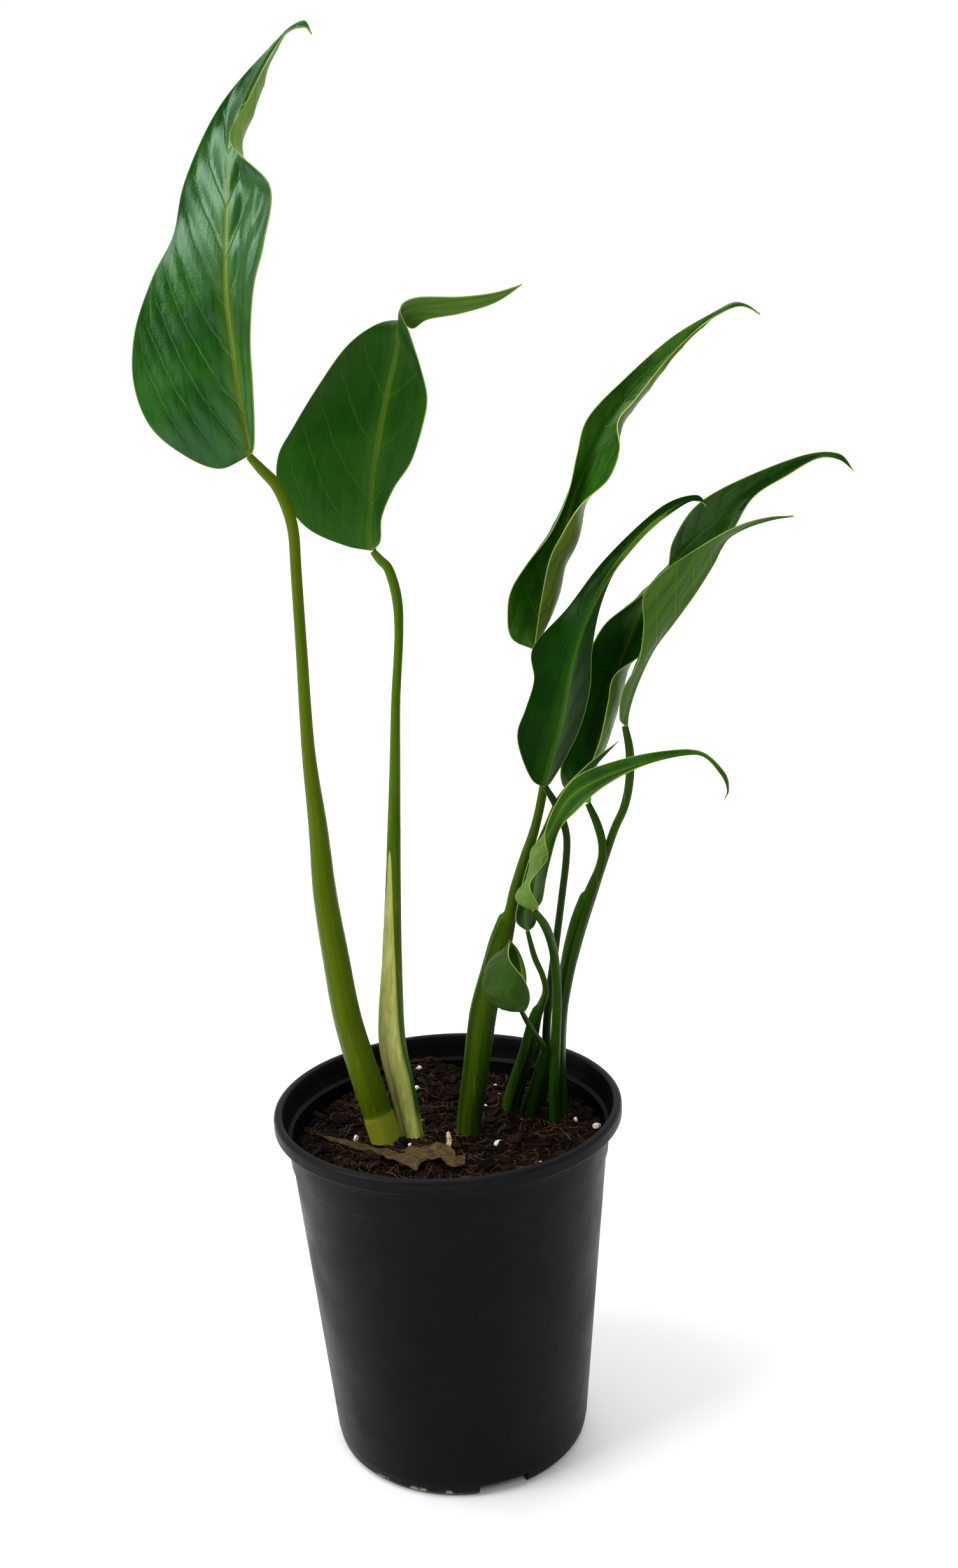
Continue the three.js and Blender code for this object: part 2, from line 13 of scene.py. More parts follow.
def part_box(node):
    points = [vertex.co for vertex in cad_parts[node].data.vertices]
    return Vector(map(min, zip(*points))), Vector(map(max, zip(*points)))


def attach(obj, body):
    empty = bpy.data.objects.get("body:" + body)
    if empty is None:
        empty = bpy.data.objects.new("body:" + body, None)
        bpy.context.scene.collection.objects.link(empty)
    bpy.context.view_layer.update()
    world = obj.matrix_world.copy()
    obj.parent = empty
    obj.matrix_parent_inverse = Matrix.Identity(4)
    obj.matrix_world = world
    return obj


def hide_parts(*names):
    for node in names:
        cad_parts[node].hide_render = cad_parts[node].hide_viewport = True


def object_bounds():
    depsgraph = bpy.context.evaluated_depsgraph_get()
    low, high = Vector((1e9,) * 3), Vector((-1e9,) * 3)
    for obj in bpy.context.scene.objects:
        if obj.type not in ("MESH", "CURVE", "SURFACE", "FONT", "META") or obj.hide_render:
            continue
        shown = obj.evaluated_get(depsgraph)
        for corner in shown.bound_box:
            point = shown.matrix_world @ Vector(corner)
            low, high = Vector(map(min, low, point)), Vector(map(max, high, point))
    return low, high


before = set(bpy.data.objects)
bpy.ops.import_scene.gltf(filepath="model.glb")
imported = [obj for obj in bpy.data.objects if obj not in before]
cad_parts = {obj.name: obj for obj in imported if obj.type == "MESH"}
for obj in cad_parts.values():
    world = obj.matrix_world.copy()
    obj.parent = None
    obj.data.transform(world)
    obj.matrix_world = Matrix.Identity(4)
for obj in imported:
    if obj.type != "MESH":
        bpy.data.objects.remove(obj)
CAD_LOW, CAD_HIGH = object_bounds()

# ---- sizes ----
MM = 0.001
BODY = "root"
POT_LOW, POT_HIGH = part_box("pot")
POT_H = POT_HIGH.z - POT_LOW.z
RIM_R = (POT_HIGH.x - POT_LOW.x) / 2
FOOT_R = 59 * MM
WALL = 1.3 * MM
FLOOR_THICK = 2.4 * MM          # the pot's own floor
SOIL_DROP = 19 * MM             # rim down to the mean soil surface
SOIL_Z = POT_H - SOIL_DROP
GAP = 0.3 * MM                  # between the soil and the pot
BLADE = 0.8 * MM                # leaf blade along its midrib
UPPER_STEP = 11 * MM            # from the rim's top down to the wall's two steps
LOWER_STEP = 24 * MM
STEP_RISE = 0.6 * MM            # height over which a step slopes, and how far it stands out
STEP_OUT = 0.7 * MM
BAND = 7 * MM                   # height of the rim's straight side
ROOTED = 7                      # mm that a stalk's foot reaches below the soil surface
SLOT_W, SLOT_H, SLOT_D = 24 * MM, 6.6 * MM, 9 * MM   # drain slots: wide, high, in from the foot's edge
SLOT_TURN = 17                  # degrees, the first slot from the front
SLOTS = 3
LENS = 36                       # mm, on a sensor 36 mm along its longer side
CAMERA_AT = (0, -0.6915, 0.4909)
CAMERA_YAW, CAMERA_PITCH, CAMERA_ROLL = 1.758, 13.46, -2.43   # degrees: right, down, and its roll
FLOOR_REACH = 30.0              # half the floor's width

# Each leaf: midrib and both margins as stations from base to tip, [x, y, height above soil] in mm,
# and how many degrees each half cups towards its upper face at those stations.
LEAVES = {
    "leaf_1": {
        "mid": [[-72, 4, 322], [-72, 2, 329], [-73, 1, 340], [-74, 0, 353], [-75, 0, 370], [-76, 0, 387],
            [-75, 1, 406], [-73, 3, 428], [-70, 6, 450], [-60, 10, 473], [-46, 14, 492], [-38, 15, 495],
            [-34, 13, 491]],
        "left": [[-72, 4, 322], [-85, 4, 317], [-99, 3, 323], [-113, 4, 336], [-119, 6, 355],
            [-117, 9, 376], [-108, 11, 397], [-98, 12, 414], [-91, 12, 436], [-74, 13, 465],
            [-50, 15, 489], [-38, 16, 497], [-34, 13, 491]],
        "right": [[-72, 4, 322], [-69, -3, 325], [-68, -6, 334], [-67, -10, 353], [-66, -12, 370],
            [-63, -13, 391], [-58, -12, 408], [-54, -8, 430], [-69, -9, 447], [-62, 2, 464],
            [-47, 11, 489], [-38, 14, 494], [-34, 13, 491]],
        "cup_left": [-10, -20, -20, -15, 0, 10, 10, 10, 20, 30, 30, 0, 0],
        "cup_right": [0, 10, 15, 15, 20, 25, 25, 30, 130, 150, 60, 20, 0],
    },
    "leaf_2": {
        "mid": [[-22, 38, 276], [-23, 37, 285], [-21, 36, 298], [-19, 36, 314], [-15, 36, 332],
            [-11, 37, 348], [-7, 36, 361], [-5.5, 35, 367], [-5.2, 34.5, 371.5], [-4.8, 33.2, 376],
            [-3.6, 31.8, 380.4], [4.5, 29.5, 382.6], [23, 23, 382.4], [38, 19, 384.5], [50.5, 16, 389.6]],
        "left": [[-22, 38, 276], [-35, 39, 279], [-52, 41, 288], [-63, 42, 305], [-63, 42, 320],
            [-55, 41, 333], [-43, 40, 350], [-29, 39, 367], [-16, 38, 375.5], [-5, 38.5, 377.5],
            [1.5, 36.5, 373.8], [8.5, 32, 377.2], [23, 25, 378.7], [38, 20, 382.4], [50.5, 16, 389.6]],
        "right": [[-22, 38, 276], [-18, 30, 281], [-17, 26, 292], [-11, 24, 304], [-2, 24, 316],
            [4, 25, 333], [6, 26, 344], [4, 27, 356], [2, 27, 364], [-0.2, 27, 372],
            [-3.4, 27.5, 381.9], [3.9, 25.5, 386], [23, 21, 385.5], [38, 18, 386.5], [50.5, 16, 389.6]],
        "cup_left": [0, -15, -15, -10, 0, 10, 20, 20, 0, -30, -40, -15, 0, 0, 0],
        "cup_right": [0, 10, 20, 20, 20, 30, 30, 20, 0, -40, -30, -15, 0, 0, 0],
    },
    "leaf_3": {
        "mid": [[49, 8, 231], [51, 10, 240], [55, 12, 254], [59, 14, 269], [65, 16, 284], [70, 18, 299],
            [77, 20, 314], [85, 22, 328], [97, 25, 342], [110, 28, 354], [125, 30, 366], [139, 30, 376],
            [148, 29, 378], [156, 27, 373]],
        "left": [[49, 8, 231], [39, 6, 237], [37, 4, 248], [39, 4, 259], [47, 5, 270], [58, 7, 283],
            [66, 10, 300], [71, 14, 316], [77, 18, 332], [95, 24, 349], [116, 29, 365], [135, 31, 375],
            [146, 30, 379], [156, 27, 373]],
        "right": [[49, 8, 231], [50, 2, 242], [52, -2, 255], [56, -3, 272], [62, -3, 283],
            [71, -3, 296], [83, -1, 306], [89, 4, 318], [89, 9, 330], [98, 14, 340], [117, 26, 359],
            [132, 29, 371], [146, 29, 377], [156, 27, 373]],
        "cup_left": [0, 30, 40, 40, 30, 30, 20, 20, 20, 20, 10, 0, 0, 0],
        "cup_right": [90, 150, 165, 150, 150, 75, 40, 30, 75, 60, 40, 20, 0, 0],
    },
    "leaf_4": {
        "mid": [[50, -20, 174], [51, -21, 179], [54, -23, 190], [57, -26, 201], [60, -28, 216],
            [63, -30, 231], [70, -31, 251], [81, -31, 270], [96, -30, 286], [110, -29, 295],
            [118, -28, 297], [121, -27, 294]],
        "left": [[50, -20, 174], [44, -22, 178], [39, -24, 191], [38, -25, 201], [42, -25, 211],
            [46, -24, 223], [46, -24, 237], [61, -24, 253], [78, -26, 274], [101, -27, 294],
            [116, -28, 299], [121, -27, 294]],
        "right": [[50, -20, 174], [53, -16, 176], [60, -14, 186], [67, -14, 200], [71, -16, 217],
            [72, -18, 234], [77, -20, 255], [86, -23, 274], [102, -26, 289], [113, -27, 296],
            [118, -28, 296], [121, -27, 294]],
        "cup_left": [0, 20, 30, 30, 30, 30, 30, 20, 20, 10, 0, 0],
        "cup_right": [0, 20, 30, 30, 30, 30, 30, 20, 20, 10, 0, 0],
    },
    "leaf_5": {
        "mid": [[42, -34, 122], [42, -35, 130], [44, -37, 141], [46, -38, 151], [51, -39, 162],
            [58, -40, 173], [68, -41, 180], [83, -42, 186], [99, -44, 190], [114, -46, 191],
            [122, -48, 183], [125, -48, 176], [124, -47, 171]],
        "left": [[42, -34, 122], [43, -45, 128], [40, -45, 138], [48, -46, 149], [47, -44, 159],
            [53, -40, 172], [62, -40, 183], [77, -41, 189], [97, -43, 193], [114, -46, 193],
            [124, -48, 184], [126, -48, 176], [124, -47, 171]],
        "right": [[42, -34, 122], [46, -30, 125], [48, -30, 134], [50, -36, 146], [54, -40, 160],
            [61, -42, 168], [72, -43, 178], [87, -43, 186], [102, -44, 190], [115, -46, 191],
            [123, -48, 183], [125, -48, 176], [124, -47, 171]],
        "cup_left": [60, 235, 120, 220, 60, 40, 30, 20, 10, 0, 0, 0, 0],
        "cup_right": [0, 60, 60, 60, 80, 90, 90, 60, 30, 0, 0, 0, 0],
    },
    "leaf_6": {
        "mid": [[72, 14, 157], [73, 15, 165], [75, 16, 178], [80, 18, 193], [85, 20, 209], [91, 22, 225],
            [98, 24, 240], [107, 26, 256], [119, 28, 270], [133, 31, 282], [148, 34, 294],
            [165, 37, 303], [182, 38, 310], [194, 37, 309], [201, 34, 302]],
        "left": [[72, 14, 157], [62, 12, 164], [59, 8, 174], [62, 6, 189], [67, 6, 206], [72, 7, 225],
            [81, 10, 241], [96, 13, 251], [110, 16, 262], [114, 20, 276], [126, 25, 291],
            [149, 31, 302], [177, 36, 311], [194, 37, 311], [201, 34, 302]],
        "right": [[72, 14, 157], [71, 6, 167], [72, 2, 177], [77, 0, 191], [81, 0, 207], [84, 1, 219],
            [98, 6, 228], [112, 20, 237], [124, 22, 252], [142, 26, 278], [153, 30, 293],
            [169, 34, 302], [184, 37, 309], [194, 37, 308], [201, 34, 302]],
        "cup_left": [0, 10, 20, 30, 30, 30, 30, 30, 30, 30, 20, 10, 0, 0, 0],
        "cup_right": [0, 60, 90, 100, 100, 90, 60, 30, 30, 40, 40, 20, 0, 0, 0],
    },
    "leaf_7": {
        "mid": [[88, -2, 196], [89, -3, 204], [93, -6, 217], [100, -9, 232], [109, -11, 244],
            [118, -12, 256], [126, -12, 268], [132, -11, 278], [141, -10, 283], [153, -9, 286],
            [163, -8, 287]],
        "left": [[88, -2, 196], [87, 2, 200], [90, 3, 213], [96, 4, 227], [102, 5, 241], [109, 5, 253],
            [119, 4, 266], [130, 0, 277], [140, -6, 283], [152, -8, 286], [163, -8, 287]],
        "right": [[88, -2, 196], [85, -6, 201], [86, -10, 214], [93, -14, 228], [95, -17, 243],
            [95, -19, 257], [104, -20, 267], [121, -18, 277], [137, -14, 284], [151, -10, 287],
            [163, -8, 287]],
        "cup_left": [0, 10, 20, 20, 20, 20, 20, 10, 0, 0, 0],
        "cup_right": [0, 30, 40, 40, 40, 40, 40, 30, 0, 0, 0],
    },
    "leaf_8": {
        "mid": [[40, -16, 106], [39, -15, 113], [42, -13, 124], [46, -11, 140], [52, -8, 155],
            [60, -5, 168], [73, -2, 179], [86, 2, 189]],
        "left": [[40, -16, 106], [35, -16, 111], [36, -15, 119], [41, -13, 137], [49, -10, 153],
            [57, -6, 167], [71, -3, 180], [86, 2, 189]],
        "right": [[40, -16, 106], [44, -12, 109], [47, -10, 123], [51, -9, 139], [56, -7, 155],
            [63, -4, 166], [74, -2, 178], [86, 2, 189]],
        "cup_left": [20, 20],
        "cup_right": [20, 20],
    },
    "leaf_9": {
        "mid": [[34, -30, 76], [36, -30, 83], [36, -29, 91], [35, -29, 98], [33, -30, 104],
            [31, -31, 108]],
        "left": [[34, -30, 76], [36, -43, 79], [38, -48, 87], [36, -48, 95], [30, -42, 103],
            [31, -31, 108]],
        "right": [[34, -30, 76], [37, -28, 81], [38, -28, 89], [37, -28, 96], [34.5, -29.5, 103],
            [31, -31, 108]],
        "cup_left": [140, 240, 245, 245, 225, 60],
        "cup_right": [0, 20, 20, 20, 10, 0],
    },
}

# Each petiole: centre line stations [x, y, height above soil, radius] in mm, from the soil up
PETIOLES = {
    "petiole_1": [[-30.5, -3, 3, 6.9], [-37.6, 0, 30, 7.1], [-45, 3, 61, 6.6], [-49, 4.5, 93, 6.2],
        [-52, 4, 124, 5.5], [-53, 3, 155, 4.4], [-55, 3, 191, 3.1], [-55, 3, 237, 2.6],
        [-55, 3, 271, 2.5], [-55, 3, 288, 2.5], [-57, 3, 299, 2.6], [-61, 3, 309, 2.6],
        [-67, 4, 316, 2.3]],
    "petiole_2": [[-18, 1, 2, 5.4], [-22, 6, 26, 6.2], [-24.6, 9.5, 41, 6.4], [-24.9, 12.5, 56, 6.0],
        [-23, 17.5, 87, 4.7], [-21, 21.5, 117, 3.8], [-19, 25, 147, 3.2], [-17, 28, 177, 2.6],
        [-15, 30, 207, 2.2], [-12, 33, 237, 2.1], [-12, 35, 254, 2.4], [-15, 37, 267, 2.3],
        [-19, 38, 272, 2.1]],
    "petiole_3": [[10, 1, 10, 5.8], [13, 1, 27, 6.1], [16, 0, 46, 6.4], [18, 0, 59, 6.5],
        [22, 0, 75, 6.1], [28, 0, 93, 4.9], [33, 0, 109, 3.2], [36, 0, 121, 2.9], [41, 0, 136, 2.7],
        [46, 1, 150, 2.2], [50, 3, 165, 2.1], [53, 5, 182, 2.1], [53, 7, 202, 2.1],
        [51, 8, 220, 2.0]],
    "petiole_4": [[46, 24, 4, 2.2], [48, 18, 20, 2.1], [49, 11, 48, 2.0], [51, 6, 71, 1.9],
        [54, 0, 95, 1.8], [57, -6, 120, 1.7], [59, -10, 138, 1.7], [59, -13, 151, 1.7],
        [55, -18, 164, 1.8]],
    "petiole_5": [[51, 6, 3, 2.5], [51, 1, 24, 2.5], [52, -3, 47, 2.4], [53, -8, 70, 2.2],
        [52, -15, 91, 2.1], [50, -22, 103, 2.0], [47, -29, 113, 2.0]],
    "petiole_6": [[56, 19, 3, 3.0], [55, 18, 37, 3.2], [57, 17, 58, 3.5], [61, 16, 79, 3.8],
        [66, 15, 97, 3.6], [72, 14, 114, 2.8], [77, 13, 127, 2.2], [78, 12, 137, 2.0],
        [76, 13, 147, 2.0]],
    "petiole_7": [[57, 28, 4, 2.4], [57, 27, 32, 2.3], [60, 26, 60, 2.2], [67, 25, 87, 2.1],
        [75, 22, 113, 2.0], [80, 17, 131, 2.0], [84, 12, 145, 2.0], [88, 6, 157, 2.0],
        [90, 2, 170, 2.0], [90, -1, 184, 2.0]],
    "petiole_8": [[31, 25, 2, 4.6], [35, 20, 18, 4.4], [40, 13, 37, 3.7], [44, 6, 56, 2.6],
        [48, -1, 70, 1.6], [47, -5, 80, 1.4], [43, -10, 92, 1.4]],
    "petiole_9": [[40, 14, 4, 4.8], [43, 8, 18, 4.2], [46, 0, 37, 2.4], [46, -6, 46, 1.6],
        [42, -14, 55, 1.4], [38, -22, 65, 1.3]],
}

# The open side of a sheathed petiole: the way it faces in degrees from the front (left is below 0),
# half its width in degrees and its depth in radii at its foot, the heights in mm where it closes and
# over which it narrows, and whether its inside is pale
GROOVES = {
    "petiole_1": (150, 14, 0.10, 190, 60, 0.0),
    "petiole_2": (-28, 66, 0.34, 140, 112, 1.0),
    "petiole_3": (-52, 15, 0.12, 109, 30, 0.0),
    "petiole_6": (-22, 17, 0.22, 113, 40, 0.0),
    "petiole_8": (8, 17, 0.30, 60, 30, 0.0),
    "petiole_9": (-50, 16, 0.18, 42, 20, 0.0),
}
# Where a sheath ends in a shoulder on its petiole: its height in mm, the way it faces and half its
# width in degrees, how far it stands out in radii, and the height over which that fades below it
SHOULDERS = {
    "petiole_2": [(140, -38, 50, 0.20, 18)],
    "petiole_3": [(109, -88, 80, 0.55, 34)],
    "petiole_6": [(113, -82, 60, 0.45, 40)],
    "petiole_8": [(63, -70, 45, 0.50, 40), (57, 35, 40, 0.30, 40)],
    "petiole_9": [(43, -50, 50, 0.60, 22)],
}
# An old scar: its height and half-height in mm, the way it faces and half its width in degrees
SCARS = {"petiole_3": (55, 7, -88, 26)}


# ---- curves ----
def spread(stations, u):
    """A smooth curve through evenly spaced stations: a uniform Catmull-Rom spline. Each span is the
    cubic through its two ends whose slope at each station is half the step between its neighbours."""
    values = np.asarray(stations, float)
    values = values[:, None] if values.ndim == 1 else values
    padded = np.vstack([2 * values[0] - values[1], values, 2 * values[-1] - values[-2]])
    at = np.clip(u, 0, 1) * (len(values) - 1)
    span = np.clip(at.astype(int), 0, len(values) - 2)
    t = (at - span)[..., None]
    a, b, c, d = (padded[span + k] for k in range(4))
    return 0.5 * (2 * b + (c - a) * t + (2 * a - 5 * b + 4 * c - d) * t**2 + (3 * b - a - 3 * c + d) * t**3)


def unit(v):
    """Vectors made one long."""
    return v / np.maximum(np.linalg.norm(v, axis=-1, keepdims=True), 1e-12)


def ease(low, high, x):
    """0 below low, 1 above high, and the cubic 3t^2 - 2t^3 between."""
    t = np.clip((x - low) / (high - low), 0, 1)
    return t * t * (3 - 2 * t)


def ground(x, y, pitches, height, seed):
    """Bumpy ground: for each pitch, four folded sine waves |sin(k.p + phase)| with seeded directions,
    whose height falls with their pitch."""
    rng = np.random.default_rng(seed)
    total = np.zeros_like(x)
    for pitch in pitches:
        for way, phase in rng.uniform(0, 2 * np.pi, (4, 2)):
            k = np.pi / pitch
            wave = np.abs(np.sin(k * (np.cos(way) * x + np.sin(way) * y) + phase))
            total += (wave - 0.64) * (pitch / pitches[0]) ** 0.8
    return height * total / 4


# ---- meshes ----
def make_piece(name, points, faces, material, marks=None, crease=50, smooth=True):
    """A mesh object from points (n, 3) and faces, a list of index arrays with one row per face.
    marks are point attributes; edges sharper than crease degrees stay sharp."""
    mesh = bpy.data.meshes.new(name)
    corners = np.concatenate([np.asarray(f).ravel() for f in faces]).astype(np.int32)
    sizes = np.concatenate([np.full(len(f), np.shape(f)[1]) for f in faces]).astype(np.int32)
    mesh.vertices.add(len(points))
    mesh.vertices.foreach_set("co", np.asarray(points, np.float32).ravel())
    mesh.loops.add(len(corners))
    mesh.loops.foreach_set("vertex_index", corners)
    mesh.polygons.add(len(sizes))
    mesh.polygons.foreach_set("loop_start", np.concatenate([[0], np.cumsum(sizes)[:-1]]).astype(np.int32))
    mesh.update(calc_edges=True)
    for mark, values in (marks or {}).items():
        layer = mesh.attributes.new(mark, "FLOAT", "POINT")
        layer.data.foreach_set("value", np.asarray(values, np.float32).ravel())
    mesh.polygons.foreach_set("use_smooth", np.full(len(sizes), smooth))
    if smooth:
        mesh.set_sharp_from_angle(angle=math.radians(crease))
    mesh.validate()
    piece = bpy.data.objects.new(name, mesh)
    bpy.context.scene.collection.objects.link(piece)
    mesh.materials.append(material)
    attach(piece, BODY)
    return piece


def quads(numbers):
    """Faces of a grid of point numbers, turned so that rows x columns faces out."""
    corners = [numbers[:-1, :-1], numbers[:-1, 1:], numbers[1:, 1:], numbers[1:, :-1]]
    return np.stack(corners, -1).reshape(-1, 4)


def shell(top, bottom):
    """Points and faces of a closed thin body between two grids: both grids, joined along their edges."""
    rows, columns = top.shape[:2]
    upper = np.arange(rows * columns).reshape(rows, columns)
    lower = upper + rows * columns
    around = np.concatenate([upper[0, :-1], upper[:-1, -1], upper[-1, :0:-1], upper[:0:-1, 0]])
    after = np.roll(around, -1)
    rim = np.stack([around, around + rows * columns, after + rows * columns, after], -1)
    points = np.concatenate([top.reshape(-1, 3), bottom.reshape(-1, 3)])
    return points, [quads(upper), quads(lower)[:, ::-1], rim]


def closed_tube(rings, first, last):
    """Points and faces of rings (m, n, 3) joined lengthwise and round, with a fan to the points first
    and last. Rings run anticlockwise seen from the last one."""
    m, n = rings.shape[:2]
    numbers = np.arange(m * n).reshape(m, n)
    wrapped = np.concatenate([numbers, numbers[:, :1]], 1)
    start = np.stack([wrapped[0, 1:], wrapped[0, :-1], np.full(n, m * n)], -1)
    end = np.stack([wrapped[-1, :-1], wrapped[-1, 1:], np.full(n, m * n + 1)], -1)
    return np.concatenate([rings.reshape(-1, 3), [first, last]]), [quads(wrapped), start, end]


def in_place(stations):
    """Plant stations in mm above the soil, put where they stand, in metres."""
    return np.asarray(stations, float)[:, :3] * MM + [0, 0, SOIL_Z]


# ---- leaf blades ----
def blade_grid(leaf, u, s):
    """The blade's middle surface on a grid of u along and s across, -1 at the left margin to 1 at the
    right. Each half is an arc: from the midrib M(u) along the chord C to the margin, and off it by the
    arc's height, (cos a(t - 1/2) - cos a/2) / (2 sin a/2) chords for a cup angle a."""
    mid = spread(in_place(leaf["mid"]), u)
    way = unit(spread(in_place(leaf["mid"]), u + 1e-3) - spread(in_place(leaf["mid"]), u - 1e-3))
    halves = []
    for side, margin, cup in ((-1, "left", "cup_left"), (1, "right", "cup_right")):
        chord = spread(in_place(leaf[margin]), u) - mid
        normal = unit(side * np.cross(chord, way))
        a = np.radians(spread(leaf[cup], u))
        a = np.where(np.abs(a) < 2e-3, 2e-3, a)
        t = np.abs(s[s <= 0] if side < 0 else s[s > 0])[None, :, None]
        along = 0.5 + np.sin(a[:, None] * (t - 0.5)) / (2 * np.sin(a[:, None] / 2))
        sag = (np.cos(a[:, None] * (t - 0.5)) - np.cos(a[:, None] / 2)) / (2 * np.sin(a[:, None] / 2))
        span = np.linalg.norm(chord, axis=-1)[:, None, None]
        halves.append(mid[:, None] + chord[:, None] * along - normal[:, None] * span * sag)
    return np.concatenate(halves, 1)


def grid_normals(grid):
    """Unit normals of a grid: the way across times the way along."""
    return unit(np.cross(np.gradient(grid, axis=1), np.gradient(grid, axis=0)))


def lengths(grid, axis):
    """Distance along the grid's rows or columns from their first point."""
    steps = np.linalg.norm(np.diff(grid, axis=axis), axis=-1)
    zero = np.zeros_like(np.take(steps, [0], axis))
    return np.cumsum(np.concatenate([zero, steps], axis), axis)


def leaf_blade(name, leaf, look):
    """One leaf: the middle surface, quilted between its side veins, waved at its margins and pleated
    lengthwise, with the blade's thickness on both sides, a channel over the midrib and a rounded rib
    under it. Side veins leave the midrib at look["lean"] and curve towards the tip, so they lie where
    (distance along the midrib - lean x distance across - bend x across^2) / pitch is whole."""
    rows, half = look["rows"], look["columns"]
    a = np.linspace(0, 1, rows)
    u = 0.004 + 0.99 * (0.5 * a + 0.5 * (0.5 - 0.5 * np.cos(np.pi * a)))
    t = np.linspace(0, 1, half + 1) ** 1.25
    s = np.concatenate([-t[:0:-1], t])
    grid = blade_grid(leaf, u, s)
    across = np.abs(lengths(grid, 1) - lengths(grid, 1)[:, half:half + 1])
    along = lengths(grid[:, half:half + 1], 0) + 0 * across
    width = np.where(s < 0, across[:, :1], across[:, -1:])
    pitch = look["pitch"] * MM
    vein = (along - look["lean"] * across - look["bend"] * across**2 / MM / 40) / pitch + 40
    from_vein = np.abs(vein - np.round(vein)) * 2
    inside = ease(0, 4 * MM, across) * ease(0, 0.25, 1 - np.abs(s)) * ease(0, 8 * MM, width)
    inside = inside * ease(0, 0.12, u)[:, None]
    normal = grid_normals(grid)
    puff = look["puff"] * MM * inside * (from_vein**0.7 - 0.5)
    wave = look["wave"] * MM * np.abs(s) ** 3 * np.sin(along / (9 * MM) + 2 * np.sign(s))
    pleat = look["pleat"] * MM * (np.exp(-((s - 0.62) / 0.1) ** 2) - np.exp(-((s - 0.3) / 0.1) ** 2))
    pleat = pleat * (ease(0, 0.1, u) * (1 - u) ** 0.5)[:, None] * ease(0, 6 * MM, width)
    grid = grid + normal * (puff + pleat + wave * ease(0, 10 * MM, width))[..., None]
    rib_w = look["rib"] * MM * (1 - u) ** 0.8 * ease(-0.05, 0.02, 1 - u)
    rib_w = np.maximum(rib_w, 0.25 * MM)[:, None]
    bulge = np.exp(-(across / rib_w) ** 2)
    thick = BLADE * (1 - 0.45 * np.abs(s)) / 2
    fine = np.exp(-(from_vein * pitch / (0.9 * MM)) ** 2) * inside
    top = thick - 0.22 * rib_w * bulge * ease(0, 0.05, u)[:, None] - 0.12 * MM * fine
    under = thick + 0.75 * rib_w * bulge + 0.1 * MM * fine
    points, faces = shell(grid + normal * top[..., None], grid - normal * under[..., None])
    flat = {
        "vein": vein, "rib": across / rib_w, "along": u[:, None] + 0 * across,
        "across": s + 0 * across, "run": along / (100 * MM), "reach": np.sign(s) * across / (100 * MM),
        "edge": width - across,
    }
    marks = {key: np.tile(value.ravel(), 2) for key, value in flat.items()}
    marks["edge"] = marks["edge"] / MM
    marks["under"] = np.repeat([0.0, 1.0], across.size)
    piece = make_piece(name + "_blade", points, faces, leaf_material(name, look), marks)
    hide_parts(name)


# ---- petioles ----
def petiole_stations(name):
    """A petiole's stations with its foot in the soil and its end at its leaf's base."""
    stations = PETIOLES[name]
    base = LEAVES[name.replace("petiole", "leaf")]["mid"][0]
    foot, second = stations[0], stations[1]
    slope = [(second[k] - foot[k]) / (second[2] - foot[2]) for k in (0, 1)]
    rooted = [foot[k] - slope[k] * (ROOTED + foot[2]) * 0.5 for k in (0, 1)] + [-ROOTED, foot[3]]
    return [rooted] + stations + [[*base, 0.75 * stations[-1][3]]]


def petiole_frame(stations, u):
    """Centre line, radius and two directions square to it: right, and facing the front."""
    path = in_place(stations)
    centre = spread(path, u)
    way = unit(spread(path, u + 1e-3) - spread(path, u - 1e-3))
    front = np.array([0, -1, 0]) - way * (way @ [0, -1, 0])[:, None]
    front = unit(front)
    right = np.cross(way, front)
    radius = spread([s[3] for s in stations], u)[:, 0] * MM
    return centre, radius, right, front


def bump(x):
    """A smooth hump, cos^2 between -1 and 1 and 0 outside."""
    return np.where(np.abs(x) < 1, np.cos(np.clip(x, -1, 1) * np.pi / 2) ** 2, 0)


def away(turn, facing, half_width):
    """How far an angle lies from the way that facing points, in half-widths; both are in degrees."""
    return ((turn - np.radians(facing) + np.pi) % (2 * np.pi) - np.pi) / np.radians(half_width)


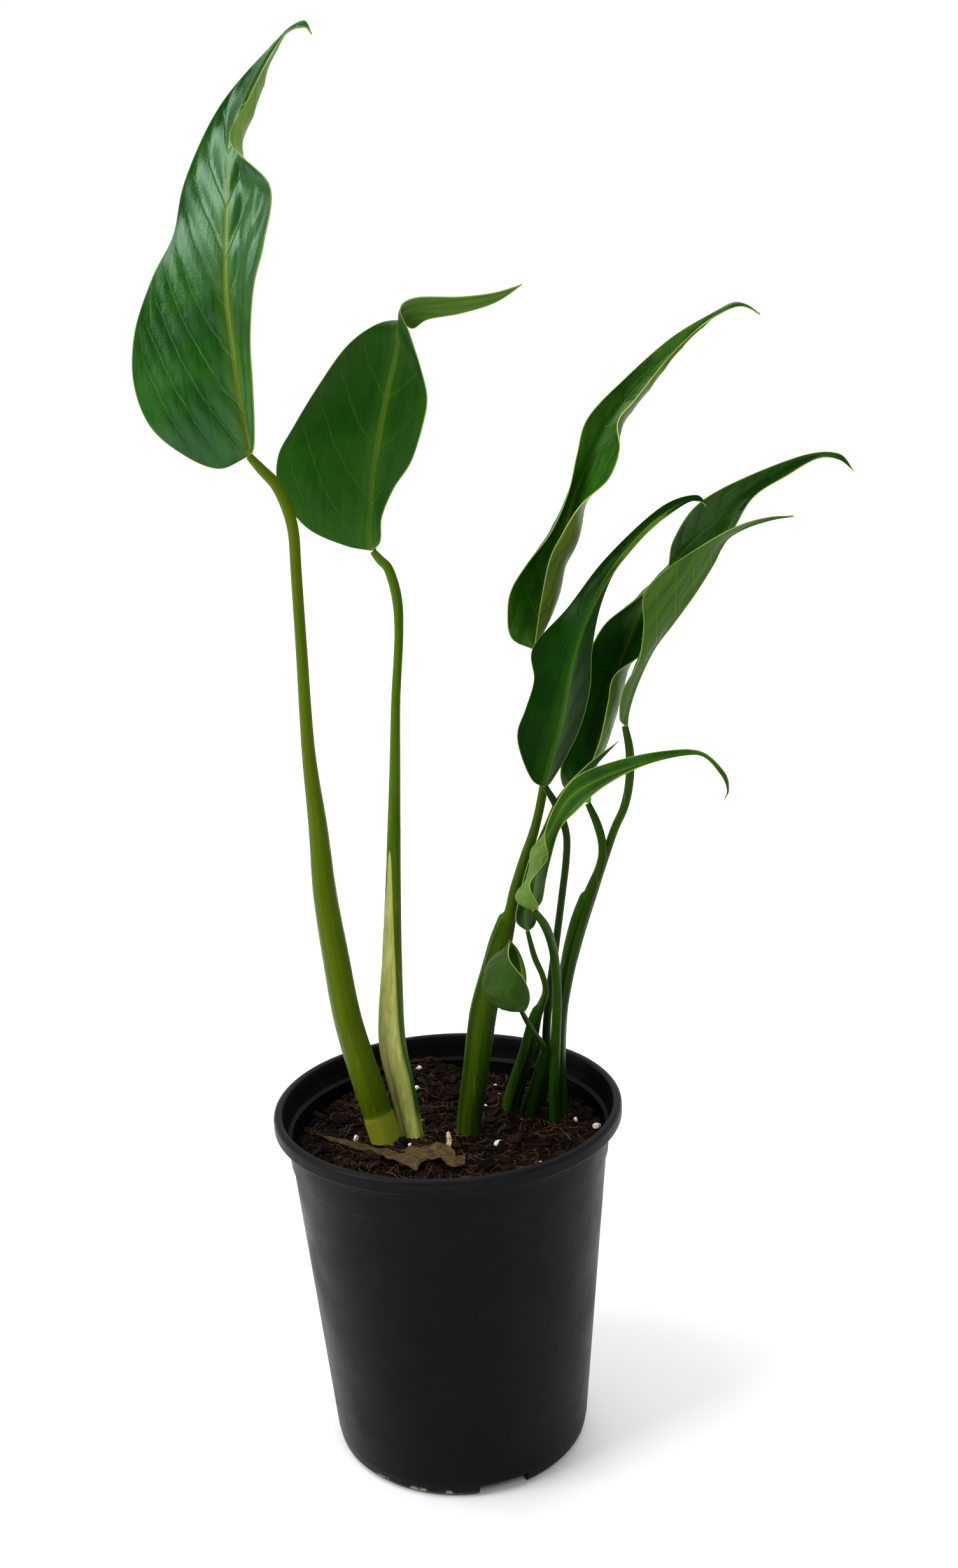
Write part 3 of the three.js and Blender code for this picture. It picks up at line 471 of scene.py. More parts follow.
def petiole(name):
    """A petiole: a round section swept along its stations. The open side of its sheath is a groove, a
    flat-floored hump taken off the radius, with a lip along each edge. Shoulders stand out where a
    sheath ends, an old scar is pressed in, and a slanted collar goes round the foot. Angles run from
    the front to the right."""
    stations = petiole_stations(name)
    a = np.linspace(0, 1, 230)
    u = 0.4 * a + 0.6 * a**2
    centre, radius, right, front = petiole_frame(stations, u)
    turn = np.linspace(-np.pi, np.pi, 97)[:-1][None]
    height = ((centre[:, 2] - SOIL_Z) / MM)[:, None]
    size = 1 + 0.010 * np.sin(9 * turn + height / 30) + 0.006 * np.sin(17 * turn + 1)
    inside = np.zeros_like(size)
    if name in GROOVES:
        facing, half_width, depth, top, taper, pale = GROOVES[name]
        share = np.clip((top - height) / taper, 0, 1)
        half = np.radians(half_width) * np.maximum(share, 1e-3) ** 0.7
        off = np.abs((turn - np.radians(facing) + np.pi) % (2 * np.pi) - np.pi) / half
        floor_share = 1 - ease(0.55, 1.0, off)
        shown = ease(0, 0.08, share)
        size = size - depth * share**0.5 * floor_share * shown
        lip = np.exp(-((off - 1.05) / 0.14) ** 2) * shown
        size = size + 0.05 * lip * ease(0, 20, height)
        # a groove that is not pale gets a negative inside mark on its floor, for painted shade in its finish
        inner = pale * (1 - ease(0.86, 1.0, off)) - (1 - pale) * floor_share
        inside = np.where(share > 0, inner * shown, 0)
        inside = inside + 0.6 * pale * lip
    for top, facing, half_width, stand, taper in SHOULDERS.get(name, []):
        off = away(turn, facing, half_width)
        ends = top - 5 * np.abs(off)
        swell = stand * bump(off) * ease(top - taper, top, height)
        size = size + swell * (1 - ease(ends - 1, ends + 1.5, height))
    scar = np.zeros_like(size)
    if name in SCARS:
        at, tall, facing, half_width = SCARS[name]
        scar = bump(away(turn, facing, half_width)) * bump((height - at) / tall)
        size = size - 0.05 * scar
    for at, slant, stand in COLLARS.get(name, []):
        size = size + stand * (1 - ease(at - 0.5, at + 0.5, height - slant * np.cos(turn - 0.5)))
    sideways, forwards = np.sin(turn[0])[None, :, None], np.cos(turn[0])[None, :, None]
    outwards = sideways * right[:, None] + forwards * front[:, None]
    rings = centre[:, None] + (size * radius[:, None])[..., None] * outwards
    points, faces = closed_tube(rings[:, ::-1], centre[0], centre[-1])
    count = rings.shape[1]
    marks = {"along": np.append(np.repeat(u, count), [0, 1]),
             # turn carries which side of the stalk a point faces, for the painted shade on its right side
             "turn": np.append(np.tile(np.sin(turn[0, ::-1] - 0.3), len(u)), [0, 0]),
             "height": np.append(np.repeat(height, count), [0, 0]),
             # inside: pale inside an open sheath, and negative on a narrow groove's floor for painted shade
             "inside": np.append(inside[:, ::-1].ravel(), [0, 0]),
             "scar": np.append(np.clip(2.5 * scar[:, ::-1].ravel(), 0, 1), [0, 0])}
    piece = make_piece(name + "_stalk", points, faces, petiole_material(name), marks, crease=60)
    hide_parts(name)


# ---- pot ----
def rounded(corners):
    """An outline through corners [r, z, fillet]: each corner becomes an arc of its fillet radius that
    touches both of its sides, drawn in equal turns. The first and last corners stay sharp."""
    outline = [np.array(corners[0][:2])]
    for before, (r, z, fillet), after in zip(corners, corners[1:], corners[2:]):
        at = np.array([r, z])
        back, on = unit(np.array(before[:2]) - at), unit(np.array(after[:2]) - at)
        half = math.acos(np.clip(back @ on, -1, 1)) / 2
        centre = at + unit(back + on) * fillet / math.sin(half)
        touch = fillet / math.tan(half)
        start, end = at + back * touch - centre, at + on * touch - centre
        steps = np.linspace(0, 1, 6)[:, None]
        arc = unit(start * (1 - steps) + end * steps) * fillet
        outline.extend(centre + arc)
    outline.append(np.array(corners[-1][:2]))
    return np.array(outline)


def turned(outline, segments):
    """Rings of an outline (r, z) turned about +Z."""
    turn = np.linspace(0, 2 * np.pi, segments + 1)[:-1]
    r, z = outline[:, 0, None], outline[:, 1, None]
    return np.stack([r * np.cos(turn), r * np.sin(turn), z + 0 * turn], -1)


def wall_r(z):
    """Outer radius of the pot's straight wall at height z."""
    low = FOOT_R + 2.8 * MM
    return low + (RIM_R - 6.5 * MM - low) * (z - 6 * MM) / (POT_H - 18 * MM)


def pot():
    """The pot: foot, straight wall with two shallow steps, rolled rim, and back down inside to its
    floor, turned about +Z; then the drain slots are cut through the lower edge."""
    h, r = POT_H, RIM_R
    low, high = h - LOWER_STEP, h - UPPER_STEP
    outside = [
        (FOOT_R - 2 * MM, 0, 0.5), (FOOT_R, 0.7 * MM, 0.9), (FOOT_R + 2 * MM, 3 * MM, 2.4),
        (wall_r(8 * MM), 8 * MM, 6), (wall_r(low - STEP_RISE), low - STEP_RISE, 0.4),
        (wall_r(low) + STEP_OUT, low, 0.35), (wall_r(high - STEP_RISE) + STEP_OUT, high - STEP_RISE, 0.35),
        (wall_r(high) + 1.5 * MM, high, 0.4)]
    rim = [
        (r - 4.3 * MM, h - BAND - 0.2 * MM, 0.5), (r, h - BAND, 1.3), (r, h, 2.0),
        (r - 4.0 * MM, h + 0.1 * MM, 1.4), (r - 5 * MM, h - BAND, 3), (r - 6.2 * MM, high - 0.2 * MM, 0.8)]
    inside = [
        (wall_r(h - 13 * MM) - WALL - 0.2 * MM, h - 12.4 * MM, 0.4),
        (wall_r(h - 14 * MM) - WALL, h - 14 * MM, 0.6), (wall_r(7 * MM) - WALL, 7 * MM, 2.0),
        (FOOT_R - 1.5 * MM, 3.4 * MM, 1.2), (FOOT_R - 5 * MM, FLOOR_THICK, 1.0)]
    corners = [(at, z, fillet * MM) for at, z, fillet in outside + rim + inside]
    outline = rounded([(8 * MM, 0, 0)] + corners + [(8 * MM, FLOOR_THICK, 0)])
    long = np.linspace(0, 1, 12)[1:-1, None]
    gaps = np.linalg.norm(np.diff(outline, axis=0), axis=1)
    finer = []
    for k, point in enumerate(outline[:-1]):
        finer.append(point[None])
        if gaps[k] > 20 * MM:
            finer.append(point * (1 - long) + outline[k + 1] * long)
    outline = np.concatenate(finer + [outline[-1:]])
    points, faces = closed_tube(turned(outline, 288), (0, 0, 0), (0, 0, FLOOR_THICK))
    piece = make_piece("pot_body", points, faces, pot_material(), crease=42)
    cut_slots(piece)
    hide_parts("pot")


def cut_slots(piece):
    """Notches through the lower edge of the wall and the base, cut by boxes that reach past them."""
    corners = np.array([[x, y, z] for z in (-2 * MM, SLOT_H) for y in (-FOOT_R - 14 * MM, SLOT_D - FOOT_R)
                        for x in (-SLOT_W / 2, SLOT_W / 2)])
    sides = np.array([[0, 2, 3, 1], [4, 5, 7, 6], [0, 1, 5, 4], [2, 6, 7, 3], [0, 4, 6, 2], [1, 3, 7, 5]])
    cutters = []
    for k in range(SLOTS):
        turn = math.radians(SLOT_TURN + 360 / SLOTS * k)
        c, s = math.cos(turn), math.sin(turn)
        spin = np.array([[c, s, 0], [-s, c, 0], [0, 0, 1]])
        cutters.append(corners @ spin)
    mesh = bpy.data.meshes.new("slot_cutter")
    mesh.from_pydata(np.concatenate(cutters).tolist(), [],
                     np.concatenate([sides + 8 * k for k in range(SLOTS)]).tolist())
    cutter = bpy.data.objects.new("slot_cutter", mesh)
    bpy.context.scene.collection.objects.link(cutter)
    cut = piece.modifiers.new("slots", "BOOLEAN")
    cut.operation, cut.object, cut.solver = "DIFFERENCE", cutter, "EXACT"
    bpy.context.view_layer.update()
    done = bpy.data.meshes.new_from_object(piece.evaluated_get(bpy.context.evaluated_depsgraph_get()))
    piece.modifiers.clear()
    piece.data = done
    done.set_sharp_from_angle(angle=math.radians(42))
    bpy.data.objects.remove(cutter)


# ---- soil and what lies on it ----
def soil_height(x, y):
    """Height of the soil surface at x, y: gentle waves, two mounds at the back left, a dip at the
    front, and the lumps of the mix."""
    a, b = x / MM, y / MM
    waves = ((0.055, 0.02, 0.4), (-0.031, 0.083, 1.9), (0.11, -0.07, 3.1), (0.16, 0.13, 0.7))
    z = 0.55 * sum(np.sin(kx * a + ky * b + phase) for kx, ky, phase in waves)
    z = z + 5 * np.exp(-((a + 18) ** 2 + (b - 52) ** 2) / 500)
    z = z + 7 * np.exp(-((a + 10) ** 2 + (b - 73) ** 2) / 300)
    z = z - 3 * np.exp(-((a + 8) ** 2 + (b + 58) ** 2) / 600)
    z = z + ground(a, b, (13, 7.5, 4.2, 2.3), 2.6, 5)
    return SOIL_Z + z * MM


def soil():
    """The soil: a disc of rings whose height is soil_height, down the wall and closed underneath."""
    outer = wall_r(SOIL_Z) - WALL - GAP
    r = outer * np.linspace(1, 0, 131)[:-1] ** 0.8
    turn = np.linspace(0, 2 * np.pi, 385)[:-1]
    x, y = r[:, None] * np.cos(turn), r[:, None] * np.sin(turn)
    edge = ease(outer, outer - 4 * MM, np.hypot(x, y))
    z = soil_height(x, y) * edge + (SOIL_Z - 2.2 * MM) * (1 - edge)
    low_r = np.array([FOOT_R - 6 * MM, FOOT_R - 2.4 * MM, wall_r(7.4 * MM) - WALL - GAP])
    low_z = np.array([FLOOR_THICK + GAP, 3.6 * MM + GAP, 7.4 * MM])
    below = turned(np.stack([low_r, low_z], -1), len(turn))
    rings = np.concatenate([below, np.stack([x, y, z], -1)])
    top = soil_height(np.zeros(1), np.zeros(1))[0]
    points, faces = closed_tube(rings, (0, 0, FLOOR_THICK + GAP), (0, 0, top))
    piece = make_piece("soil_surface", points, faces, soil_material(), crease=70)
    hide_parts("soil")


def sphere_grid(rows, columns):
    """Rings of a unit ball from its bottom to its top, without the poles."""
    lift = np.linspace(-np.pi / 2, np.pi / 2, rows + 2)[1:-1, None]
    turn = np.linspace(0, 2 * np.pi, columns + 1)[:-1]
    return np.stack([np.cos(lift) * np.cos(turn), np.cos(lift) * np.sin(turn), np.sin(lift) + 0 * turn], -1)


def lump(name, node, material, flat, crag, seed):
    """A loose grain or chip in its node's box: a ball drawn to the box, whose radius is pushed in and
    out by seeded sine waves of the ball's own coordinates, and pressed flat by the power flat."""
    low, high = (np.array(v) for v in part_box(node))
    rng = np.random.default_rng(seed)
    ball = np.concatenate([sphere_grid(34, 56).reshape(-1, 3), [[0, 0, -1], [0, 0, 1]]])
    ways = rng.normal(0, 1, (14, 3)) * np.linspace(1.5, 9, 14)[:, None]
    waves = np.abs(np.sin(ball @ ways.T + rng.uniform(0, 6, 14))) / np.linspace(1, 5, 14)
    size = 1 + crag * (waves.sum(1) - waves.sum(1).mean())
    shape = np.sign(ball) * np.abs(ball) ** flat * size[:, None]
    shape = shape / np.abs(shape).max(0)
    points = (low + high) / 2 + shape * (high - low) / 2 * 1.02
    rings = points[:-2].reshape(34, 56, 3)
    points, faces = closed_tube(rings, points[-2], points[-1])
    piece = make_piece(name, points, faces, material, crease=35)
    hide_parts(node)


def scattered(name, count, sizes, squash, material, seed, keep, lift=0.25):
    """Many small crumbs as one piece: each a 12-cornered ball with seeded corners, drawn out by
    squash, turned at random and set on the soil. keep(x, y) thins them out."""
    rng = np.random.default_rng(seed)
    golden = (1 + 5**0.5) / 2
    ball = np.array([[-1, golden, 0], [1, golden, 0], [-1, -golden, 0], [1, -golden, 0], [0, -1, golden],
                     [0, 1, golden], [0, -1, -golden], [0, 1, -golden], [golden, 0, -1], [golden, 0, 1],
                     [-golden, 0, -1], [-golden, 0, 1]]) / (1 + golden**2) ** 0.5
    sides = np.array([[0, 11, 5], [0, 5, 1], [0, 1, 7], [0, 7, 10], [0, 10, 11], [1, 5, 9], [5, 11, 4],
                      [11, 10, 2], [10, 7, 6], [7, 1, 8], [3, 9, 4], [3, 4, 2], [3, 2, 6], [3, 6, 8],
                      [3, 8, 9], [4, 9, 5], [2, 4, 11], [6, 2, 10], [8, 6, 7], [9, 8, 1]])
    reach = wall_r(SOIL_Z) - WALL - 3 * MM
    r, turn = reach * rng.uniform(0, 1, count) ** 0.5, rng.uniform(0, 2 * np.pi, count)
    x, y = r * np.cos(turn), r * np.sin(turn)
    size = sizes[0] * (sizes[1] / sizes[0]) ** rng.uniform(0, 1, count) * MM
    kept = rng.uniform(0, 1, count) < keep(x / MM, y / MM)
    x, y, size = x[kept], y[kept], size[kept]
    n = len(x)
    shape = ball * rng.uniform(0.72, 1.12, (n, 12, 1))
    shape = shape * (np.array(squash) * rng.uniform(0.75, 1.3, (n, 3)))[:, None]
    lean, spin = rng.normal(0, 0.35, n), rng.uniform(0, 2 * np.pi, n)
    zero, one = np.zeros(n), np.ones(n)
    c, s = np.cos(lean), np.sin(lean)
    tip = np.stack([one, zero, zero, zero, c, -s, zero, s, c], -1)
    c, s = np.cos(spin), np.sin(spin)
    yaw = np.stack([c, -s, zero, s, c, zero, zero, zero, one], -1)
    turned_shape = np.einsum("nij,njk,nvk->nvi", yaw.reshape(n, 3, 3), tip.reshape(n, 3, 3), shape)
    place = np.stack([x, y, soil_height(x, y) + lift * size * squash[2]], -1)
    points = place[:, None] + turned_shape * size[:, None, None]
    faces = (sides[None] + 12 * np.arange(n)[:, None, None]).reshape(-1, 3)
    tone = np.repeat(rng.uniform(0, 1, n), 12)
    return make_piece(name, points.reshape(-1, 3), [faces], material, {"tone": tone}, smooth=False)


def fibres(name, count, length, thick, material, seed):
    """Roots and fibres as one piece: each a thin four-sided tube along an arc that lies on the soil
    and lifts a little in its middle, its direction turning steadily from end to end."""
    rng = np.random.default_rng(seed)
    reach = wall_r(SOIL_Z) - WALL - 6 * MM
    r, turn = reach * rng.uniform(0, 1, count) ** 0.5, rng.uniform(0, 2 * np.pi, count)
    steps = np.linspace(0, 1, 11)
    way = rng.uniform(0, 2 * np.pi, count)[:, None] + rng.normal(0, 1.6, count)[:, None] * steps
    way = way + 0.5 * np.sin(rng.uniform(5, 12, count)[:, None] * steps + rng.uniform(0, 6, count)[:, None])
    long = rng.uniform(*length, count)[:, None] * MM / 10
    x = (r * np.cos(turn))[:, None] + np.cumsum(np.cos(way) * long, 1)
    y = (r * np.sin(turn))[:, None] + np.cumsum(np.sin(way) * long, 1)
    over = np.maximum(np.hypot(x, y) / reach, 1)
    x, y = x / over, y / over
    arch = rng.uniform(0.2, 2.2, count)[:, None] * MM * np.sin(np.pi * steps)
    z = soil_height(x, y) + arch + 0.1 * MM
    path = np.stack([x, y, z], -1)
    side = unit(np.stack([-np.sin(way), np.cos(way), 0 * way], -1))
    radius = rng.uniform(*thick, count)[:, None] * MM * (1 - 0.75 * steps)
    ring = np.stack([side, np.broadcast_to([0, 0, 1.0], side.shape)], 2)
    corner = np.array([[1, 0], [0, 1], [-1, 0], [0, -1]], float)
    points = path[:, :, None] + np.einsum("kc,nmcd->nmkd", corner, ring) * radius[..., None, None]
    numbers = np.arange(count * 44).reshape(count, 11, 4)
    looped = np.concatenate([numbers, numbers[:, :, :1]], 2)
    walls = np.stack([looped[:, :-1, 1:], looped[:, :-1, :-1], looped[:, 1:, :-1], looped[:, 1:, 1:]], -1)
    ends = np.concatenate([numbers[:, 0], numbers[:, -1, ::-1]])
    tone = np.repeat(rng.uniform(0, 1, count), 44)
    make_piece(name, points.reshape(-1, 3), [walls.reshape(-1, 4)[:, ::-1], ends[:, ::-1]], material,
               {"tone": tone}, smooth=False)


# ---- shader nodes ----
def colour(code):
    """A colour written as rrggbb, as the linear values that nodes take."""
    parts = [int(code[k:k + 2], 16) / 255 for k in (0, 2, 4)]
    return [p / 12.92 if p <= 0.04045 else ((p + 0.055) / 1.055) ** 2.4 for p in parts] + [1.0]


def node(tree, kind, inputs, **settings):
    """A shader node with its settings; inputs maps a socket to a value or to another node's output."""
    made = tree.nodes.new("ShaderNode" + kind)
    for key, value in settings.items():
        setattr(made, key, value)
    for socket, value in inputs.items():
        if isinstance(value, bpy.types.NodeSocket):
            tree.links.new(value, made.inputs[socket])
        else:
            made.inputs[socket].default_value = value
    return made


def maths(tree, operation, a, b=0.0):
    """One operation on two values."""
    return node(tree, "Math", {0: a, 1: b}, operation=operation).outputs[0]


def step(tree, value, low, high, to_low=0.0, to_high=1.0):
    """value from low to high, eased to to_low and to_high and held outside."""
    inputs = {"Value": value, "From Min": low, "From Max": high, "To Min": to_low, "To Max": to_high}
    return node(tree, "MapRange", inputs, interpolation_type="SMOOTHSTEP").outputs["Result"]


def blend(tree, mask, a, b):
    """Colour a where mask is 0 and b where it is 1."""
    return node(tree, "Mix", {0: mask, 6: a, 7: b}, data_type="RGBA").outputs[2]


def noise(tree, at, scale, detail=3.0, rough=0.5, warp=0.0):
    """Noise with its scale in features per metre of at."""
    inputs = {"Vector": at, "Scale": scale, "Detail": detail, "Roughness": rough, "Distortion": warp}
    return node(tree, "TexNoise", inputs).outputs["Fac"]


def mark(tree, name):
    """One of the piece's own point attributes."""
    return node(tree, "Attribute", {}, attribute_name=name).outputs["Fac"]


def place(tree):
    """The point on the piece, in metres."""
    return node(tree, "TexCoord", {}).outputs["Object"]


def effect(name, inputs, outputs):
    """A node group with float or vector inputs, returned with the sockets that give its inputs and
    take its outputs."""
    tree = bpy.data.node_groups.new(name, "ShaderNodeTree")
    for socket, value in inputs.items():
        kind = "NodeSocketVector" if value is None else "NodeSocketFloat"
        made = tree.interface.new_socket(name=socket, in_out="INPUT", socket_type=kind)
        if value is not None:
            made.default_value = value
    for socket in outputs:
        tree.interface.new_socket(name=socket, in_out="OUTPUT", socket_type="NodeSocketFloat")
    return tree, tree.nodes.new("NodeGroupInput").outputs, tree.nodes.new("NodeGroupOutput").inputs


def use(tree, group, output, **inputs):
    """One output of a node group placed in a material."""
    made = tree.nodes.new("ShaderNodeGroup")
    made.node_tree = group
    for socket, value in inputs.items():
        if isinstance(value, bpy.types.NodeSocket):
            tree.links.new(value, made.inputs[socket])
        else:
            made.inputs[socket].default_value = value
    return made.outputs[output]


def make_grain():
    """Fine grain of pitch Size mm with coarser lumps under it, as a height from 0 to 1."""
    tree, given, out = effect("Grain", {"At": None, "Size": 0.5, "Lumps": 0.4}, ["Height"])
    scale = maths(tree, "DIVIDE", 1000.0, given["Size"])
    fine = noise(tree, given["At"], scale, 2.0, 0.6)
    coarse = noise(tree, given["At"], maths(tree, "MULTIPLY", scale, 0.17), 2.0, 0.5)
    both = node(tree, "Mix", {0: given["Lumps"], 2: fine, 3: coarse}).outputs[0]
    tree.links.new(both, out["Height"])
    return tree


def make_blotches():
    """Soft patches of pitch Size mm that cover more as Cover rises from 0 to 1."""
    tree, given, out = effect("Blotches", {"At": None, "Size": 10.0, "Cover": 0.5, "Soft": 0.15}, ["Mask"])
    scale = maths(tree, "DIVIDE", 1000.0, given["Size"])
    spots = noise(tree, given["At"], scale, 5.0, 0.6)
    middle = maths(tree, "SUBTRACT", 0.72, maths(tree, "MULTIPLY", given["Cover"], 0.44))
    low = maths(tree, "SUBTRACT", middle, given["Soft"])
    high = maths(tree, "ADD", middle, given["Soft"])
    tree.links.new(step(tree, spots, low, high), out["Mask"])
    return tree


def make_leaf_veins():
    """The side veins of a blade, 1 on a vein and 0 between, from the marks vein and edge, and a fine
    net between them in Object coordinates."""
    tree, given, out = effect("Leaf veins", {"At": None, "Width": 0.06, "Net": 2.2}, ["Veins", "Net"])
    vein = mark(tree, "vein")
    drift = maths(tree, "MULTIPLY", noise(tree, given["At"], 90.0, 2.0), 0.25)
    line = maths(tree, "PINGPONG", maths(tree, "ADD", vein, drift), 0.5)
    thin = maths(tree, "SUBTRACT", 1.0, step(tree, line, 0.0, given["Width"]))
    fade = step(tree, mark(tree, "edge"), 0.5, 9.0)
    tree.links.new(maths(tree, "MULTIPLY", thin, fade), out["Veins"])
    scale = maths(tree, "DIVIDE", 1000.0, given["Net"])
    cells = node(tree, "TexVoronoi", {"Vector": given["At"], "Scale": scale}, feature="DISTANCE_TO_EDGE")
    tree.links.new(step(tree, cells.outputs["Distance"], 0.0, 0.14), out["Net"])
    return tree


GRAIN = make_grain()
BLOTCHES = make_blotches()
LEAF_VEINS = make_leaf_veins()


def material(name):
    """A new node material: its tree, its Principled shader and the point on the piece."""
    made = bpy.data.materials.new(name)
    made.use_nodes = True
    tree = made.node_tree
    return made, tree, tree.nodes["Principled BSDF"], place(tree)


def finish_looks(tree, shader, base, rough, height, depth, **fixed):
    """Base colour, roughness and a bump of depth metres on the shader; fixed are plain values."""
    tree.links.new(base, shader.inputs["Base Color"])
    tree.links.new(rough, shader.inputs["Roughness"])
    bump = node(tree, "Bump", {"Height": height, "Distance": depth, "Strength": 1.0})
    tree.links.new(bump.outputs["Normal"], shader.inputs["Normal"])
    for socket, value in fixed.items():
        shader.inputs[socket.replace("_", " ")].default_value = value


# ---- finishes ----
def leaf_upper(tree, look, streaks, patches, veins, rib, fade):
    """The upper face: two greens in streaks and patches, with the side veins, a paler zone along the
    midrib that fades towards the tip, and the midrib on them."""
    mottle = maths(tree, "ADD", maths(tree, "MULTIPLY", streaks, 0.6), maths(tree, "MULTIPLY", patches, 0.3))
    upper = blend(tree, step(tree, mottle, 0.25, 0.75), colour(look["dark"]), colour(look["light"]))
    upper = blend(tree, maths(tree, "MULTIPLY", veins, look["pale"]), upper, colour(look["vein_colour"]))
    zone = maths(tree, "MULTIPLY", step(tree, mark(tree, "rib"), 5.0, 0.8), fade)
    upper = blend(tree, maths(tree, "MULTIPLY", zone, 0.35), upper, colour(look["vein_colour"]))
    return blend(tree, rib, upper, colour(look["rib_colour"]))


def leaf_lower(tree, look, streaks, veins, rib):
    """The lower face: two duller greens in streaks, with the side veins and the midrib on them."""
    lower = blend(tree, step(tree, streaks, 0.3, 0.75), colour(look["under"]), colour(look["under_light"]))
    lower = blend(tree, maths(tree, "MULTIPLY", veins, 0.2), lower, colour(look["rib_colour"]))
    return blend(tree, maths(tree, "MULTIPLY", rib, 0.6), lower, colour(look["rib_colour"]))


def leaf_material(name, look):
    """A waxy blade: dark green above with lengthwise streaks, a paler zone and midrib, faint veins and a
    thin painted highlight along its margin; olive and duller below; brown at its very tip. The wax is
    smoother in patches."""
    made, tree, shader, at = material(name + "_green")
    stretched = node(tree, "CombineXYZ", {0: mark(tree, "reach"), 1: mark(tree, "run"), 2: 0.0}).outputs[0]
    streak_at = node(tree, "Mapping", {"Vector": stretched, "Scale": (42, 2.0, 1)}).outputs[0]
    streaks = noise(tree, streak_at, 1.0, 4.0, 0.6, 0.4)
    patches = use(tree, BLOTCHES, "Mask", At=at, Size=26.0, Cover=0.5, Soft=0.2)
    veins = use(tree, LEAF_VEINS, "Veins", At=at, Width=look["vein"])
    net = use(tree, LEAF_VEINS, "Net", At=at, Net=1.3)
    fade = step(tree, mark(tree, "along"), look["rib_end"], look["rib_end"] - 0.45)
    rib = maths(tree, "SUBTRACT", 1.0, step(tree, mark(tree, "rib"), 0.6, 1.2))
    rib = maths(tree, "MULTIPLY", rib, maths(tree, "MULTIPLY", fade, look["rib_share"]))
    upper = leaf_upper(tree, look, streaks, patches, veins, rib, fade)
    lower = leaf_lower(tree, look, streaks, veins, rib)
    under = step(tree, mark(tree, "under"), 0.4, 0.6)
    base = blend(tree, under, upper, lower)
    # painted highlight: within the margin width of the edge, both faces are blended towards a pale yellow
    # green, as light caught along the edge
    margin = step(tree, mark(tree, "edge"), look["margin"], 0.1)
    base = blend(tree, maths(tree, "MULTIPLY", margin, look["margin_highlight_share"]), base,
                 colour(look["margin_highlight_colour"]))
    brown = step(tree, mark(tree, "along"), look["brown"], look["brown"] + 0.02)
    base = blend(tree, brown, base, colour("5c4424"))
    wax = step(tree, noise(tree, at, 60.0, 4.0), 0.35, 0.7, look["gloss"], look["gloss"] + 0.16)
    rough = maths(tree, "ADD", wax, maths(tree, "MULTIPLY", under, 0.12))
    fine = use(tree, GRAIN, "Height", At=at, Size=0.45, Lumps=0.5)
    height = maths(tree, "SUBTRACT", maths(tree, "MULTIPLY", fine, 0.1), maths(tree, "MULTIPLY", veins, 0.6))
    height = maths(tree, "ADD", height, maths(tree, "MULTIPLY", net, 0.05))
    height = maths(tree, "ADD", height, maths(tree, "MULTIPLY", streaks, look["ridged"]))
    finish_looks(tree, shader, base, rough, height, 0.00022, Specular_IOR_Level=look["shine"],
                 Specular_Tint=look["tint"], Subsurface_Weight=0.04,
                 Subsurface_Radius=(0.4, 1.0, 0.2), Subsurface_Scale=0.001)
    return made


def stalk_finish(tree, shader, at, base, lines):
    """What every stalk and sheath shares: fine grain, raised lines along it and a soft wax."""
    fine = use(tree, GRAIN, "Height", At=at, Size=0.4, Lumps=0.5)
    height = maths(tree, "ADD", maths(tree, "MULTIPLY", fine, 0.4), lines)
    rough = step(tree, noise(tree, at, 120.0), 0.3, 0.7, 0.34, 0.5)
    finish_looks(tree, shader, base, rough, height, 0.00016, Specular_IOR_Level=0.12,
                 Specular_Tint=(0.75, 0.85, 0.2, 1), Subsurface_Weight=0.05,
                 Subsurface_Radius=(0.6, 1.0, 0.2), Subsurface_Scale=0.002)


def petiole_material(name):
    """A smooth fleshy stalk: its own green, with painted shade making it darker towards its right side,
    with paler lines along it, whitish green inside an open sheath, painted shade in a narrow groove,
    brown in a scar, and some stalks paler at their foot."""
    light, dark, line = STALK_GREENS_AND_SHADE[name]
    made, tree, shader, at = material(name + "_green")
    run = node(tree, "Mapping", {"Vector": at, "Scale": (520, 520, 9)}).outputs[0]
    lines = noise(tree, run, 1.0, 3.0, 0.6)
    soft = noise(tree, node(tree, "Mapping", {"Vector": at, "Scale": (60, 60, 18)}).outputs[0], 1.0, 3.0)
    # painted shade: the stalk's right side is blended to its darker green, as shade away from the light
    side = maths(tree, "ADD", mark(tree, "turn"), step(tree, soft, 0.3, 0.7, -0.5, 0.5))
    base = blend(tree, step(tree, side, -0.7, 0.9), colour(light), colour(dark))
    base = blend(tree, step(tree, lines, 0.55, 0.8, 0.0, 0.35), base, colour(line))
    if name in FOOT_PALE:
        foot = step(tree, mark(tree, "height"), *FOOT_PALE[name])
        base = blend(tree, maths(tree, "MULTIPLY", foot, 0.7), base, colour("868a26"))
    pale = step(tree, mark(tree, "inside"), 0.15, 0.75)
    inner = blend(tree, step(tree, lines, 0.35, 0.7), colour("949a4c"), colour("b2b36a"))
    base = blend(tree, pale, base, inner)
    # painted shade: the floor of a narrow groove is darkened towards a near black green
    shade = step(tree, mark(tree, "inside"), -0.15, -0.8)
    base = blend(tree, maths(tree, "MULTIPLY", shade, 0.5), base, colour("0a1c02"))
    base = blend(tree, mark(tree, "scar"), base, colour("2a1608"))
    spots = use(tree, BLOTCHES, "Mask", At=at, Size=2.5, Cover=0.08, Soft=0.05)
    base = blend(tree, maths(tree, "MULTIPLY", spots, 0.3), base, colour("3a3608"))
    stalk_finish(tree, shader, at, base, lines)
    return made


